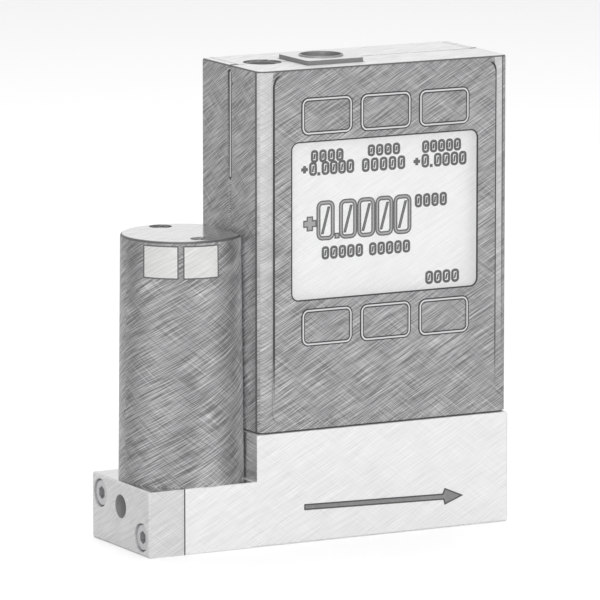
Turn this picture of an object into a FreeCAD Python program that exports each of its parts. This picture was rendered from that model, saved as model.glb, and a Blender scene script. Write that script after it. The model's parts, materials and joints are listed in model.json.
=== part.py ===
import FreeCAD, Part
import os
import Sketcher

# Pressure controller: a display housing on a flow body, with a proportional valve beside it.
# Millimetres. The origin is the middle of the resting face, +Z is up, the display looks along -Y,
# and gas passes from the valve end at -X to the outlet at +X.

document = FreeCAD.newDocument("pressure_controller")
Vector = FreeCAD.Vector

# Driving dimensions

DIMENSIONS = {
    # Flow body, valve block and end block
    "valve_block_length": 16.7,
    "end_block_length": 8.8,
    "body_depth": 28.0,
    "body_height": 25.0,
    "valve_block_height": 14.7,
    "block_relief": 1.0,
    "edge_chamfer": 0.4,
    # Gas passages
    "port_height": 9.3,
    "port_radius": 2.65,
    "port_depth": 6.5,
    "drilling_radius": 1.6,
    "inlet_height": 4.5,
    "inlet_radius": 1.25,
    "screen_radius": 3.9,
    "screen_thickness": 0.5,
    "screen_recess_depth": 1.0,
    "inlet_seal_wall": 0.7,
    "seal_section": 1.4,
    "outlet_seal_radius": 3.6,
    "seal_room": 0.05,
    # Screws
    "fit_gap": 0.05,
    "screw_gap": 0.2,
    "screw_radius": 1.5,
    "screw_head_radius": 2.75,
    "screw_head_height": 3.0,
    "counterbore_gap": 0.45,
    "counterbore_depth": 3.4,
    "small_screw_radius": 1.25,
    "small_head_radius": 2.25,
    "small_head_height": 2.4,
    "small_counterbore_gap": 0.3,
    "small_counterbore_depth": 3.0,
    "socket_share": 0.55,
    "socket_depth_share": 0.6,
    "tie_screw_edge": 4.0,
    "tie_screw_rise": 3.3,
    "thread_depth": 6.0,
    "mounting_spacing": 36.0,
    "mounting_radius": 1.65,
    "mounting_depth": 4.5,
    # Housing of two shells
    "housing_top": 105.4,
    "housing_left_inset": 1.7,
    "housing_right_inset": 0.1,
    "housing_front_inset": 0.35,
    "housing_back_inset": 0.35,
    "shell_wall": 2.0,
    "front_corner_radius": 2.0,
    "rear_corner_radius": 1.0,
    "top_edge_radius": 0.5,
    "seam_gap": 0.3,
    "seam_chamfer": 0.5,
    "lip_thickness": 1.0,
    "lip_overlap": 2.5,
    "slip_gap": 0.2,
    "gasket_thickness": 0.4,
    "column_inset": 8.0,
    "column_edge": 4.6,
    "column_wall": 1.4,
    "column_height": 9.0,
    "lug_inset": 8.0,
    "lug_width": 6.0,
    "lug_depth": 3.0,
    "lug_height": 7.0,
    "countersink_radius": 2.4,
    "countersink_depth": 1.2,
    "latch_width": 2.2,
    "latch_height": 1.4,
    "latch_drop": 4.0,
    "latch_depth": 0.6,
    # Keypad film, window and keys
    "film_thickness": 0.25,
    "film_edge": 3.25,
    "film_side_margin": 4.9,
    "film_top_margin": 0.6,
    "film_bottom_margin": 1.8,
    "film_corner_radius": 2.6,
    "window_width": 46.4,
    "window_height": 34.8,
    "window_drop": 16.3,
    "window_corner_radius": 1.6,
    "lens_thickness": 1.2,
    "lens_border": 1.5,
    "key_pitch": 14.7,
    "key_row_gap_above": 5.75,
    "key_row_gap_below": 6.25,
    "key_width": 12.5,
    "key_height": 8.1,
    "key_rim": 0.8,
    "key_rim_height": 0.1,
    "key_corner_radius": 1.7,
    "key_travel": 0.25,
    "key_cap_radius": 2.6,
    "key_cap_gap": 0.4,
    "key_stem_radius": 1.2,
    "switch_size": 4.5,
    "switch_height": 3.3,
    "switch_bore_depth": 2.0,
    # Boards and display module
    "display_depth": 4.2,
    "display_border": 4.0,
    "bezel_thickness": 0.3,
    "glass_thickness": 1.7,
    "board_thickness": 1.6,
    "board_edge_gap": 1.4,
    "key_board_reach": 2.8,
    "boss_inset": 4.2,
    "boss_radius": 2.2,
    "board_screw_length": 5.0,
    "board_head_radius": 2.0,
    "board_head_height": 1.4,
    "board_spacing": 6.0,
    "main_board_bottom": 33.0,
    "main_board_reach": 1.9,
    "standoff_radius": 2.2,
    # Sockets on the top
    "jack_place": 10.25,
    "jack_back": 14.9,
    "jack_radius": 4.2,
    "jack_bore_radius": 3.15,
    "jack_bore_depth": 9.0,
    "jack_sink": 0.4,
    "jack_floor": 1.5,
    "jack_flange": 1.0,
    "jack_pin_radius": 1.0,
    "socket_gap": 0.1,
    "connector_place": 23.3,
    "connector_back": 11.9,
    "connector_size": 14.2,
    "connector_corner_radius": 1.0,
    "connector_proud": 1.0,
    "connector_depth": 8.0,
    "shield_radius": 4.9,
    "shield_thickness": 0.35,
    "shield_proud": 0.4,
    "shield_depth": 6.5,
    "insert_radius": 3.9,
    "insert_depth": 1.2,
    "contact_radius": 0.35,
    "contact_length": 7.5,
    "contact_ring_radius": 2.65,
    "contact_step": 40.0,
    # Pressure sensor
    "sensor_place": 20.9,
    "sensor_radius": 6.0,
    "sensor_pocket_depth": 7.0,
    "sensor_height": 9.5,
    "sensor_chamfer": 1.0,
    "sensor_tap_radius": 0.8,
    "sensor_pin_radius": 0.3,
    "sensor_pin_pitch": 2.54,
    "sensor_pin_overlap": 2.0,
    # Valve
    "valve_axis_place": 10.4,
    "chamber_radius": 4.2,
    "chamber_floor": 7.0,
    "seat_radius": 3.0,
    "seat_sink": 1.1,
    "seat_rim": 0.8,
    "nozzle_radius": 1.1,
    "nozzle_height": 1.6,
    "nozzle_slope": 0.4,
    "orifice_radius": 0.6,
    "base_radius": 5.0,
    "base_length": 4.0,
    "tube_seal_section": 1.0,
    "tube_flange_radius": 5.9,
    "tube_flange_height": 2.0,
    "plunger_radius": 2.95,
    "plunger_chamfer": 0.5,
    "tube_wall": 0.5,
    "plunger_length": 27.0,
    "plunger_travel": 0.6,
    "plunger_rest_gap": 0.04,
    "plunger_end_gap": 0.1,
    "valve_disc_radius": 1.6,
    "valve_disc_thickness": 1.3,
    "valve_disc_proud": 0.3,
    "spring_bore_radius": 1.6,
    "spring_bore_depth": 6.0,
    "spring_seat_depth": 3.0,
    "spring_radius": 1.15,
    "spring_wire": 0.4,
    "spring_turns": 6.0,
    "stud_radius": 2.2,
    "stud_length": 6.0,
    "stud_end_gap": 1.2,
    "nut_height": 2.6,
    "nut_radius": 4.2,
    "bracket_thickness": 1.6,
    "bracket_width": 12.6,
    "bracket_height": 44.0,
    "bracket_top": 2.2,
    "coil_radius": 6.3,
    "bobbin_wall": 0.7,
    "bobbin_flange": 1.2,
    "winding_depth": 1.8,
    "coil_gap": 0.2,
    # Valve cover
    "cover_inset": 0.05,
    "cover_draft": 0.58,
    "cover_wall": 1.2,
    "cover_gap": 0.3,
    "cover_edge_radius": 0.7,
    "cover_screw_edge": 0.9,
    "cover_post_wall": 0.8,
    # Label patches on the cover
    "label_height": 7.4,
    "label_drop": 0.9,
    "label_thickness": 0.15,
    "label_angle": 35.0,
    "label_space": 1.0,
    "label_middle_angle": -117.3,
    # Leads from the coil to the main board
    "lead_radius": 0.5,
    "lead_pitch": 1.6,
    "lead_height": 40.0,
    "lead_back": 10.8,
    "lead_hole_radius": 1.6,
    "lead_plug_width": 6.0,
    "lead_plug_height": 5.0,
}

# Places that follow from the dimensions

PLACES = {
    "film_width": "Size.window_width + 2 * Size.film_side_margin",
    "shell_width": "Place.film_width + 2 * Size.film_edge",
    "flow_length": "Place.shell_width + Size.housing_left_inset + Size.housing_right_inset",
    "end_left": "-(Place.flow_length + Size.valve_block_length + Size.end_block_length) / 2",
    "block_left": "Place.end_left + Size.end_block_length",
    "main_left": "Place.block_left + Size.valve_block_length",
    "main_right": "Place.main_left + Place.flow_length",
    "front": "-Size.body_depth / 2",
    "back": "Size.body_depth / 2",
    "block_middle": "Size.valve_block_height / 2",
    "tie_y": "Place.back - Size.tie_screw_edge",
    "tie_low": "Place.block_middle - Size.tie_screw_rise",
    "tie_high": "Place.block_middle + Size.tie_screw_rise",
    "counterbore_radius": "Size.screw_head_radius + Size.counterbore_gap",
    "clearance_radius": "Size.screw_radius + Size.screw_gap",
    "tapped_radius": "Size.screw_radius + Size.fit_gap",
    "small_counterbore_radius": "Size.small_head_radius + Size.small_counterbore_gap",
    "small_clearance_radius": "Size.small_screw_radius + Size.screw_gap",
    "small_tapped_radius": "Size.small_screw_radius + Size.fit_gap",
    "screen_recess_radius": "Size.screen_radius + Size.socket_gap",
    "inlet_seal_radius": "Place.screen_recess_radius + Size.seal_section / 2 + Size.inlet_seal_wall",
    "shell_left": "Place.main_left + Size.housing_left_inset",
    "shell_right": "Place.main_right - Size.housing_right_inset",
    "shell_front": "Place.front + Size.housing_front_inset",
    "shell_back": "Place.back - Size.housing_back_inset",
    "shell_middle": "(Place.shell_left + Place.shell_right) / 2",
    "shell_base": "Size.body_height + Size.gasket_thickness",
    "roof_bottom": "Size.housing_top - Size.shell_wall",
    "wall_inside": "Place.shell_front + Size.shell_wall",
    "flange_inside": "Size.shell_wall + Size.slip_gap",
    "column_left": "Place.main_left + Size.column_inset + Size.lip_overlap",
    "column_right": "Place.main_right - Size.column_inset",
    "column_y": "Place.back - Size.column_edge",
    "column_radius": "Place.tapped_radius + Size.column_wall",
    "lug_left": "Place.shell_left + Size.lug_inset",
    "lug_right": "Place.shell_right - Size.lug_inset",
    "lug_back": "Place.shell_back - Size.shell_wall - Size.slip_gap",
    "lug_bottom": "Place.roof_bottom - Size.lug_height",
    "lug_middle": "Place.roof_bottom - Size.lug_height / 2",
    "film_top": "Size.housing_top - Size.film_top_margin",
    "film_bottom": "Place.shell_base + Size.film_bottom_margin",
    "film_left": "Place.shell_left + Size.film_edge",
    "film_right": "Place.shell_right - Size.film_edge",
    "film_front": "Place.shell_front - Size.film_thickness",
    "window_left": "Place.film_left + Size.film_side_margin",
    "window_right": "Place.film_right - Size.film_side_margin",
    "window_high": "Size.housing_top - Size.window_drop",
    "window_low": "Place.window_high - Size.window_height",
    "key_row_high": "Place.window_high + Size.key_row_gap_above",
    "key_row_low": "Place.window_low - Size.key_row_gap_below",
    "board_front": "Place.wall_inside + Size.display_depth",
    "board_back": "Place.board_front + Size.board_thickness",
    "main_front": "Place.board_back + Size.board_spacing",
    "main_back": "Place.main_front + Size.board_thickness",
    "board_inset": "Size.shell_wall + Size.lip_thickness + Size.slip_gap + Size.board_edge_gap",
    "board_left": "Place.shell_left + Place.board_inset",
    "board_right": "Place.shell_right - Place.board_inset",
    "key_board_top": "Place.key_row_high + Size.switch_size / 2 + Size.fit_gap",
    "key_board_bottom": "Place.key_row_low - Size.switch_size / 2 - Size.key_board_reach",
    "main_board_top": "Place.window_high + Size.main_board_reach",
    "boss_left": "Place.board_left + Size.boss_inset / 2",
    "boss_right": "Place.board_right - Size.boss_inset / 2",
    "jack_x": "Place.main_left + Size.jack_place",
    "jack_y": "Place.front + Size.jack_back",
    "connector_x": "Place.main_left + Size.connector_place",
    "connector_y": "Place.front + Size.connector_back",
    "lead_y": "Place.front + Size.lead_back",
    "connector_top": "Size.housing_top + Size.connector_proud",
    "sensor_x": "Place.main_left + Size.sensor_place",
    "sensor_floor": "Size.body_height - Size.sensor_pocket_depth",
    "valve_x": "Place.main_left - Size.valve_axis_place",
    "seat_bottom": "Size.chamber_floor - Size.seat_sink",
    "nozzle_top": "Size.chamber_floor + Size.nozzle_height",
    "base_bottom": "Size.valve_block_height - Size.base_length",
    "tube_seal_floor": "Place.base_bottom - Size.tube_seal_section",
    "flange_top": "Size.valve_block_height + Size.tube_flange_height",
    "tube_bore": "Size.plunger_radius + Size.fit_gap",
    "tube_radius": "Place.tube_bore + Size.tube_wall",
    "disc_bottom": "Place.nozzle_top + Size.plunger_rest_gap",
    "plunger_bottom": "Place.disc_bottom + Size.valve_disc_proud",
    "plunger_top": "Place.plunger_bottom + Size.plunger_length",
    "pole_bottom": "Place.plunger_top + Size.plunger_travel + Size.plunger_end_gap",
    "bracket_low": "Place.flange_top",
    "bracket_high": "Place.flange_top + Size.bracket_height",
    "plate_bottom": "Place.bracket_high - Size.bracket_top",
    "leg_inside": "Size.coil_radius + Size.coil_gap",
    "leg_outside": "Place.leg_inside + Size.bracket_thickness",
    "cover_top": "Place.bracket_high + Size.stud_length + Size.stud_end_gap + Size.cover_wall",
    "cover_height": "Place.cover_top - Size.valve_block_height",
    "cover_flat": "Size.valve_axis_place + Size.block_relief - Size.cover_gap",
    "cover_bottom_radius": "Place.back - Size.cover_inset",
    "cover_top_radius": "Place.cover_bottom_radius - Place.cover_height * tan(Size.cover_draft * 1 deg)",
    "plate_radius": "Place.cover_top_radius - Size.cover_wall - Size.slip_gap",
    "cover_screw_y": "Place.cover_top_radius - Place.small_counterbore_radius - Size.cover_screw_edge",
    "post_radius": "Place.small_counterbore_radius + Size.cover_post_wall",
}


def fill_sheet(name, cells):
    """Put one named value in each row of a new sheet."""
    sheet = document.addObject("Spreadsheet::Sheet", name)
    for row, (alias, content) in enumerate(cells.items(), start=1):
        sheet.set(f"A{row}", alias)
        sheet.setAlias(f"B{row}", alias)
        text = str(content)
        sheet.set(f"B{row}", text if isinstance(content, float) else "=" + text)
    document.recompute()
    return sheet


sizes = fill_sheet("Size", DIMENSIONS)
places = fill_sheet("Place", PLACES)


def value(expression):
    """Work out an expression of the sheets as a plain number."""
    result = sizes.evalExpression(str(expression))
    return float(getattr(result, "Value", result))


def bind(item, **expressions):
    """Tie properties to the sheets; two underscores stand for a dot."""
    for name, expression in expressions.items():
        item.setExpression(name.replace("__", "."), str(expression))


# Plain solids

TURN_TO_AXIS = {
    "X": FreeCAD.Rotation(Vector(0, 1, 0), 90),
    "Y": FreeCAD.Rotation(Vector(1, 0, 0), -90),
    "Z": FreeCAD.Rotation(),
}


def place(item, x, y, z, axis="Z"):
    item.Placement = FreeCAD.Placement(Vector(), TURN_TO_AXIS[axis])
    bind(item, Placement__Base__x=x, Placement__Base__y=y, Placement__Base__z=z)
    return item


def box(name, x, y, z):
    """A box between pairs of limits."""
    solid = document.addObject("Part::Box", name)
    bind(solid, Length=f"({x[1]}) - ({x[0]})", Width=f"({y[1]}) - ({y[0]})", Height=f"({z[1]}) - ({z[0]})")
    return place(solid, x[0], y[0], z[0])


def rod(name, start, radius, length, axis="Z"):
    """A round bar from a point along an axis."""
    solid = document.addObject("Part::Cylinder", name)
    bind(solid, Radius=radius, Height=length)
    return place(solid, *start, axis)


def hexagon(name, start, radius, length, axis="Z"):
    solid = document.addObject("Part::Prism", name)
    solid.Polygon = 6
    bind(solid, Circumradius=radius, Height=length)
    return place(solid, *start, axis)


def seal_ring(name, centre, radius, section, axis="Z"):
    solid = document.addObject("Part::Torus", name)
    bind(solid, Radius1=radius, Radius2=f"({section}) / 2")
    return place(solid, *centre, axis)


def fuse(name, pieces):
    joined = document.addObject("Part::MultiFuse", name)
    joined.Shapes = pieces
    return joined


def group(name, pieces):
    """Separate solids that share one name."""
    together = document.addObject("Part::Compound", name)
    together.Links = pieces
    return together


def close_to(number, target, margin=0.01):
    return abs(number - target) < margin


def cut(name, base, tools):
    result = document.addObject("Part::Cut", name)
    result.Base = base
    result.Tool = tools[0] if len(tools) == 1 else fuse(name + "_tools", tools)
    document.recompute()
    if result.Shape.Volume > base.Shape.Volume - 1e-6:
        raise RuntimeError(name + " removes nothing")
    return result


def runs_along(edge, axis):
    """Whether an edge starts in line with an axis."""
    return close_to(abs(edge.tangentAt(edge.FirstParameter)["XYZ".index(axis)]), 1)


def round_upright(name, solid, radius, axis="Y"):
    """Round the four edges of a box that run along an axis."""
    document.recompute()
    rounded = document.addObject("Part::Fillet", name)
    rounded.Base = solid
    edges = [number for number, edge in enumerate(solid.Shape.Edges, start=1) if runs_along(edge, axis)]
    rounded.Edges = [(number, value(radius), value(radius)) for number in edges]
    return rounded


# Sketched solids

def new_body(name):
    return document.addObject("PartDesign::Body", name)


def new_sketch(body, name, plane, level="0"):
    """A sketch on one of the body's own planes, moved along that plane's normal."""
    sketch = body.newObject("Sketcher::SketchObject", name)
    support = [item for item in body.Origin.OriginFeatures if item.Role == plane + "_Plane"][0]
    sketch.AttachmentSupport = [(support, "")]
    sketch.MapMode = "FlatFace"
    bind(sketch, AttachmentOffset__Base__z=level)
    return sketch


def pin_point(sketch, geometry, end, u, v):
    """Hold one point of a sketch at two driven distances from the origin."""
    for kind, distance in (("DistanceX", u), ("DistanceY", v)):
        index = sketch.addConstraint(Sketcher.Constraint(kind, -1, 1, geometry, end, value(distance)))
        sketch.setExpression(f"Constraints[{index}]", str(distance))


def draw_outline(sketch, corners):
    """A closed outline of straight sides through driven corners."""
    points = [Vector(value(u), value(v), 0) for u, v in corners]
    first = sketch.GeometryCount
    for index, point in enumerate(points):
        sketch.addGeometry(Part.LineSegment(point, points[(index + 1) % len(points)]))
    for index, (u, v) in enumerate(corners):
        following = first + (index + 1) % len(corners)
        sketch.addConstraint(Sketcher.Constraint("Coincident", first + index, 2, following, 1))
        pin_point(sketch, first + index, 1, u, v)


def draw_rectangle(sketch, left, right, low, high):
    draw_outline(sketch, [(left, low), (right, low), (right, high), (left, high)])


def draw_circle(sketch, u, v, radius):
    geometry = sketch.addGeometry(Part.Circle(Vector(value(u), value(v), 0), Vector(0, 0, 1), value(radius)))
    pin_point(sketch, geometry, 3, u, v)
    index = sketch.addConstraint(Sketcher.Constraint("Radius", geometry, value(radius)))
    sketch.setExpression(f"Constraints[{index}]", str(radius))


def add_feature(body, kind, name, sketch, length, reverse=False):
    """Pad or pocket a sketch, and make sure that it changed the body."""
    before = body.Shape.Volume if body.Tip else 0.0
    feature = body.newObject("PartDesign::" + kind, name)
    feature.Profile = sketch
    feature.Reversed = reverse
    bind(feature, Length=length)
    sketch.Visibility = False
    document.recompute()
    change = body.Shape.Volume - before
    if (change <= 1e-6) if kind == "Pad" else (change >= -1e-6):
        raise RuntimeError(f"{name} changes nothing")
    return feature


def pad(body, name, sketch, length, reverse=False):
    return add_feature(body, "Pad", name, sketch, length, reverse)


def pocket(body, name, sketch, length, reverse=False):
    return add_feature(body, "Pocket", name, sketch, length, reverse)


def drill(body, name, plane, level, centres, radius, depth, reverse=False):
    """Round holes from one level. They go against the plane's normal, or along it if reversed."""
    sketch = new_sketch(body, name + "_sketch", plane, level)
    for u, v in centres:
        draw_circle(sketch, u, v, radius)
    return pocket(body, name, sketch, depth, reverse)


def dress_edges(body, kind, name, size, wanted):
    """Fillet or chamfer each edge of the body whose middle passes a test."""
    base = body.Tip
    names = [f"Edge{number}" for number, edge in enumerate(base.Shape.Edges, start=1)
             if wanted(edge, edge.valueAt((edge.FirstParameter + edge.LastParameter) / 2))]
    feature = body.newObject("PartDesign::" + kind, name)
    feature.Base = (base, names)
    bind(feature, **{"Radius" if kind == "Fillet" else "Size": size})
    document.recompute()
    return feature


def turned(name, profile, x="0", y="0", z="0", axis="Z"):
    """A turned piece: a closed profile of radii and heights about its axis."""
    body = new_body(name)
    sketch = new_sketch(body, name + "_profile", "XZ")
    draw_outline(sketch, profile)
    spin = body.newObject("PartDesign::Revolution", name + "_turn")
    spin.Profile = sketch
    spin.ReferenceAxis = (sketch, ["V_Axis"])
    spin.Angle = 360
    sketch.Visibility = False
    return place(body, x, y, z, axis)


finished = {}


def finish_piece(item, name):
    """Give a finished piece the name that a person would use for it."""
    item.Label = name
    finished[name] = item


def cap_screw(name, head_end, towards, length, head_radius, head_height, radius, axis):
    """A socket head screw: its head starts at head_end and its shank runs towards +1 or -1."""
    index = "XYZ".index(axis)

    def along(distance):
        start = [str(part) for part in head_end]
        start[index] = f"{start[index]} + ({distance})"
        return start

    forward = towards > 0
    head = rod(name + "_head", along("0" if forward else f"-({head_height})"), head_radius, head_height, axis)
    shank_start = head_height if forward else f"-({head_height}) - ({length})"
    shank = rod(name + "_shank", along(shank_start), radius, length, axis)
    socket_depth = f"({head_height}) * Size.socket_depth_share"
    socket_start = "0" if forward else f"-({socket_depth})"
    socket_radius = f"({head_radius}) * Size.socket_share"
    socket = hexagon(name + "_socket", along(socket_start), socket_radius, socket_depth, axis)
    return cut(name, fuse(name + "_blank", [head, shank]), [socket])


# Flow body

def make_flow_body():
    body = new_body("flow_body_solid")
    sketch = new_sketch(body, "flow_outline", "XY")
    draw_rectangle(sketch, "Place.main_left", "Place.main_right", "Place.front", "Place.back")
    pad(body, "flow_block", sketch, "Size.body_height")
    relief = new_sketch(body, "relief_outline", "XZ", "Place.back")
    draw_rectangle(relief, "Place.main_left", "Place.main_left + Size.block_relief",
                   "Size.valve_block_height", "Size.body_height")
    pocket(body, "relief_cut", relief, "Size.body_depth")
    right, back = value("Place.main_right"), value("Place.back")
    dress_edges(body, "Chamfer", "flow_chamfer", "Size.edge_chamfer",
                lambda edge, middle: close_to(middle.x, right)
                or (close_to(abs(middle.y), back) and close_to(middle.z, 0)))
    centre = [("0", "Size.port_height")]
    drill(body, "flow_passage", "YZ", "Place.main_left", centre, "Size.drilling_radius",
          "Place.flow_length - Size.port_depth + Size.fit_gap", True)
    drill(body, "outlet_port", "YZ", "Place.main_right", centre, "Size.port_radius", "Size.port_depth")
    seal = new_sketch(body, "outlet_seal_groove", "YZ", "Place.main_left")
    for side in ("-", "+"):
        draw_circle(seal, "0", "Size.port_height",
                    f"Size.outlet_seal_radius {side} (Size.seal_section / 2 + Size.seal_room)")
    pocket(body, "seal_groove", seal, "Size.seal_section", True)
    ties = [("-(Place.tie_y)", "Place.tie_low"), ("Place.tie_y", "Place.tie_high")]
    drill(body, "tie_threads", "YZ", "Place.main_left", ties, "Place.tapped_radius",
          "Size.thread_depth + Size.screw_gap", True)
    drill(body, "sensor_pocket", "XY", "Size.body_height", [("Place.sensor_x", "0")],
          "Size.sensor_radius + Size.screw_gap", "Size.sensor_pocket_depth")
    drill(body, "sensor_tap", "XY", "Place.sensor_floor + Size.fit_gap", [("Place.sensor_x", "0")],
          "Size.sensor_tap_radius", "Place.sensor_floor - Size.port_height")
    columns = [(x, y) for x in ("Place.column_left", "Place.column_right")
               for y in ("-(Place.column_y)", "Place.column_y")]
    drill(body, "housing_screw_holes", "XY", "Size.body_height", columns, "Place.clearance_radius",
          "Size.body_height")
    drill(body, "housing_screw_heads", "XY", "0", columns, "Place.counterbore_radius",
          "Size.counterbore_depth", True)
    middle = "(Place.main_left + Place.main_right) / 2"
    drill(body, "mounting_holes", "XY", "0",
          [(f"{middle} - Size.mounting_spacing / 2", "0"), (f"{middle} + Size.mounting_spacing / 2", "0")],
          "Size.mounting_radius", "Size.mounting_depth", True)
    finish_piece(body, "flow_body")


# Valve block

def make_valve_block():
    body = new_body("valve_block_solid")
    sketch = new_sketch(body, "valve_block_outline", "XY")
    draw_rectangle(sketch, "Place.block_left", "Place.main_left", "Place.front", "Place.back")
    pad(body, "valve_block_pad", sketch, "Size.valve_block_height")
    top = value("Size.valve_block_height")
    back = value("Place.back")
    dress_edges(body, "Chamfer", "valve_block_chamfer", "Size.edge_chamfer / 2",
                lambda edge, middle: close_to(abs(middle.y), back)
                and (close_to(middle.z, top) or close_to(middle.z, 0)))
    axis = [("Place.valve_x", "0")]
    drill(body, "tube_thread", "XY", "Size.valve_block_height", axis, "Size.base_radius + Size.fit_gap",
          "Size.valve_block_height - Place.tube_seal_floor")
    drill(body, "valve_chamber", "XY", "Place.tube_seal_floor + Size.fit_gap", axis, "Size.chamber_radius",
          "Place.tube_seal_floor + Size.fit_gap - Size.chamber_floor")
    drill(body, "seat_bore", "XY", "Size.chamber_floor + Size.fit_gap", axis,
          "Size.seat_radius + Size.fit_gap", "Size.seat_sink + Size.fit_gap")
    drill(body, "seat_feed", "XY", "Place.seat_bottom + Size.fit_gap", axis, "Size.inlet_radius",
          "Place.seat_bottom + Size.fit_gap - Size.inlet_height")
    drill(body, "inlet_drilling", "YZ", "Place.block_left", [("0", "Size.inlet_height")], "Size.inlet_radius",
          "Place.valve_x - Place.block_left + Size.inlet_radius", True)
    drill(body, "outlet_drilling", "YZ", "Place.main_left", [("0", "Size.port_height")],
          "Size.inlet_radius", "Size.valve_axis_place - Size.chamber_radius / 2")
    ties = [("-(Place.tie_y)", "Place.tie_low"), ("Place.tie_y", "Place.tie_high")]
    drill(body, "tie_holes", "YZ", "Place.block_left", ties, "Place.clearance_radius",
          "Size.valve_block_length", True)
    finish_piece(body, "valve_block")


# Inlet end block

def make_end_block():
    body = new_body("end_block_solid")
    sketch = new_sketch(body, "end_block_outline", "XY")
    draw_rectangle(sketch, "Place.end_left", "Place.block_left", "Place.front", "Place.back")
    pad(body, "end_block_pad", sketch, "Size.valve_block_height")
    left = value("Place.end_left")
    dress_edges(body, "Chamfer", "end_block_chamfer", "Size.edge_chamfer",
                lambda edge, middle: close_to(middle.x, left))
    port = [("0", "Size.port_height")]
    drill(body, "inlet_port_hole", "YZ", "Place.end_left", port, "Size.port_radius", "Size.port_depth", True)
    drill(body, "inlet_port_drilling", "YZ", "Place.block_left", port, "Size.drilling_radius",
          "Size.end_block_length - Size.port_depth + Size.fit_gap")
    middle = [("0", "Place.block_middle")]
    drill(body, "screen_recess", "YZ", "Place.block_left", middle, "Place.screen_recess_radius",
          "Size.screen_recess_depth")
    groove = new_sketch(body, "inlet_seal_groove", "YZ", "Place.block_left")
    for side in ("-", "+"):
        draw_circle(groove, "0", "Place.block_middle",
                    f"Place.inlet_seal_radius {side} (Size.seal_section / 2 + Size.seal_room)")
    pocket(body, "inlet_groove", groove, "Size.seal_section")
    ties = [("-(Place.tie_y)", "Place.tie_low"), ("Place.tie_y", "Place.tie_high")]
    drill(body, "end_tie_holes", "YZ", "Place.block_left", ties, "Place.clearance_radius",
          "Size.end_block_length")
    drill(body, "end_tie_heads", "YZ", "Place.end_left", ties, "Place.counterbore_radius",
          "Size.counterbore_depth", True)
    finish_piece(body, "inlet_end_block")


def make_block_fittings():
    sink = "Size.counterbore_depth - Size.screw_head_height"
    length = ("Size.end_block_length + Size.valve_block_length - Size.counterbore_depth"
              " + Size.thread_depth")
    screws = []
    for number, (y, z) in enumerate((("-(Place.tie_y)", "Place.tie_low"),
                                     ("Place.tie_y", "Place.tie_high")), start=1):
        screws.append(cap_screw(f"tie_screw_{number}", (f"Place.end_left + {sink}", y, z), 1, length,
                                "Size.screw_head_radius", "Size.screw_head_height", "Size.screw_radius", "X"))
    finish_piece(group("tie_screws", screws), "end_block_screws")
    inlet_centre = ("Place.block_left - Size.seal_section / 2", "0", "Place.block_middle")
    inlet_seal = seal_ring("inlet_seal_ring", inlet_centre, "Place.inlet_seal_radius",
                           "Size.seal_section", "X")
    finish_piece(inlet_seal, "inlet_seal")
    outlet_centre = ("Place.main_left + Size.seal_section / 2", "0", "Size.port_height")
    outlet_seal = seal_ring("outlet_seal_ring", outlet_centre, "Size.outlet_seal_radius",
                            "Size.seal_section", "X")
    finish_piece(outlet_seal, "valve_block_seal")
    screen = rod("screen_disc", ("Place.block_left - Size.screen_recess_depth", "0", "Place.block_middle"),
                 "Size.screen_radius", "Size.screen_thickness", "X")
    finish_piece(screen, "inlet_screen")


# Valve inside the cover

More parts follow.
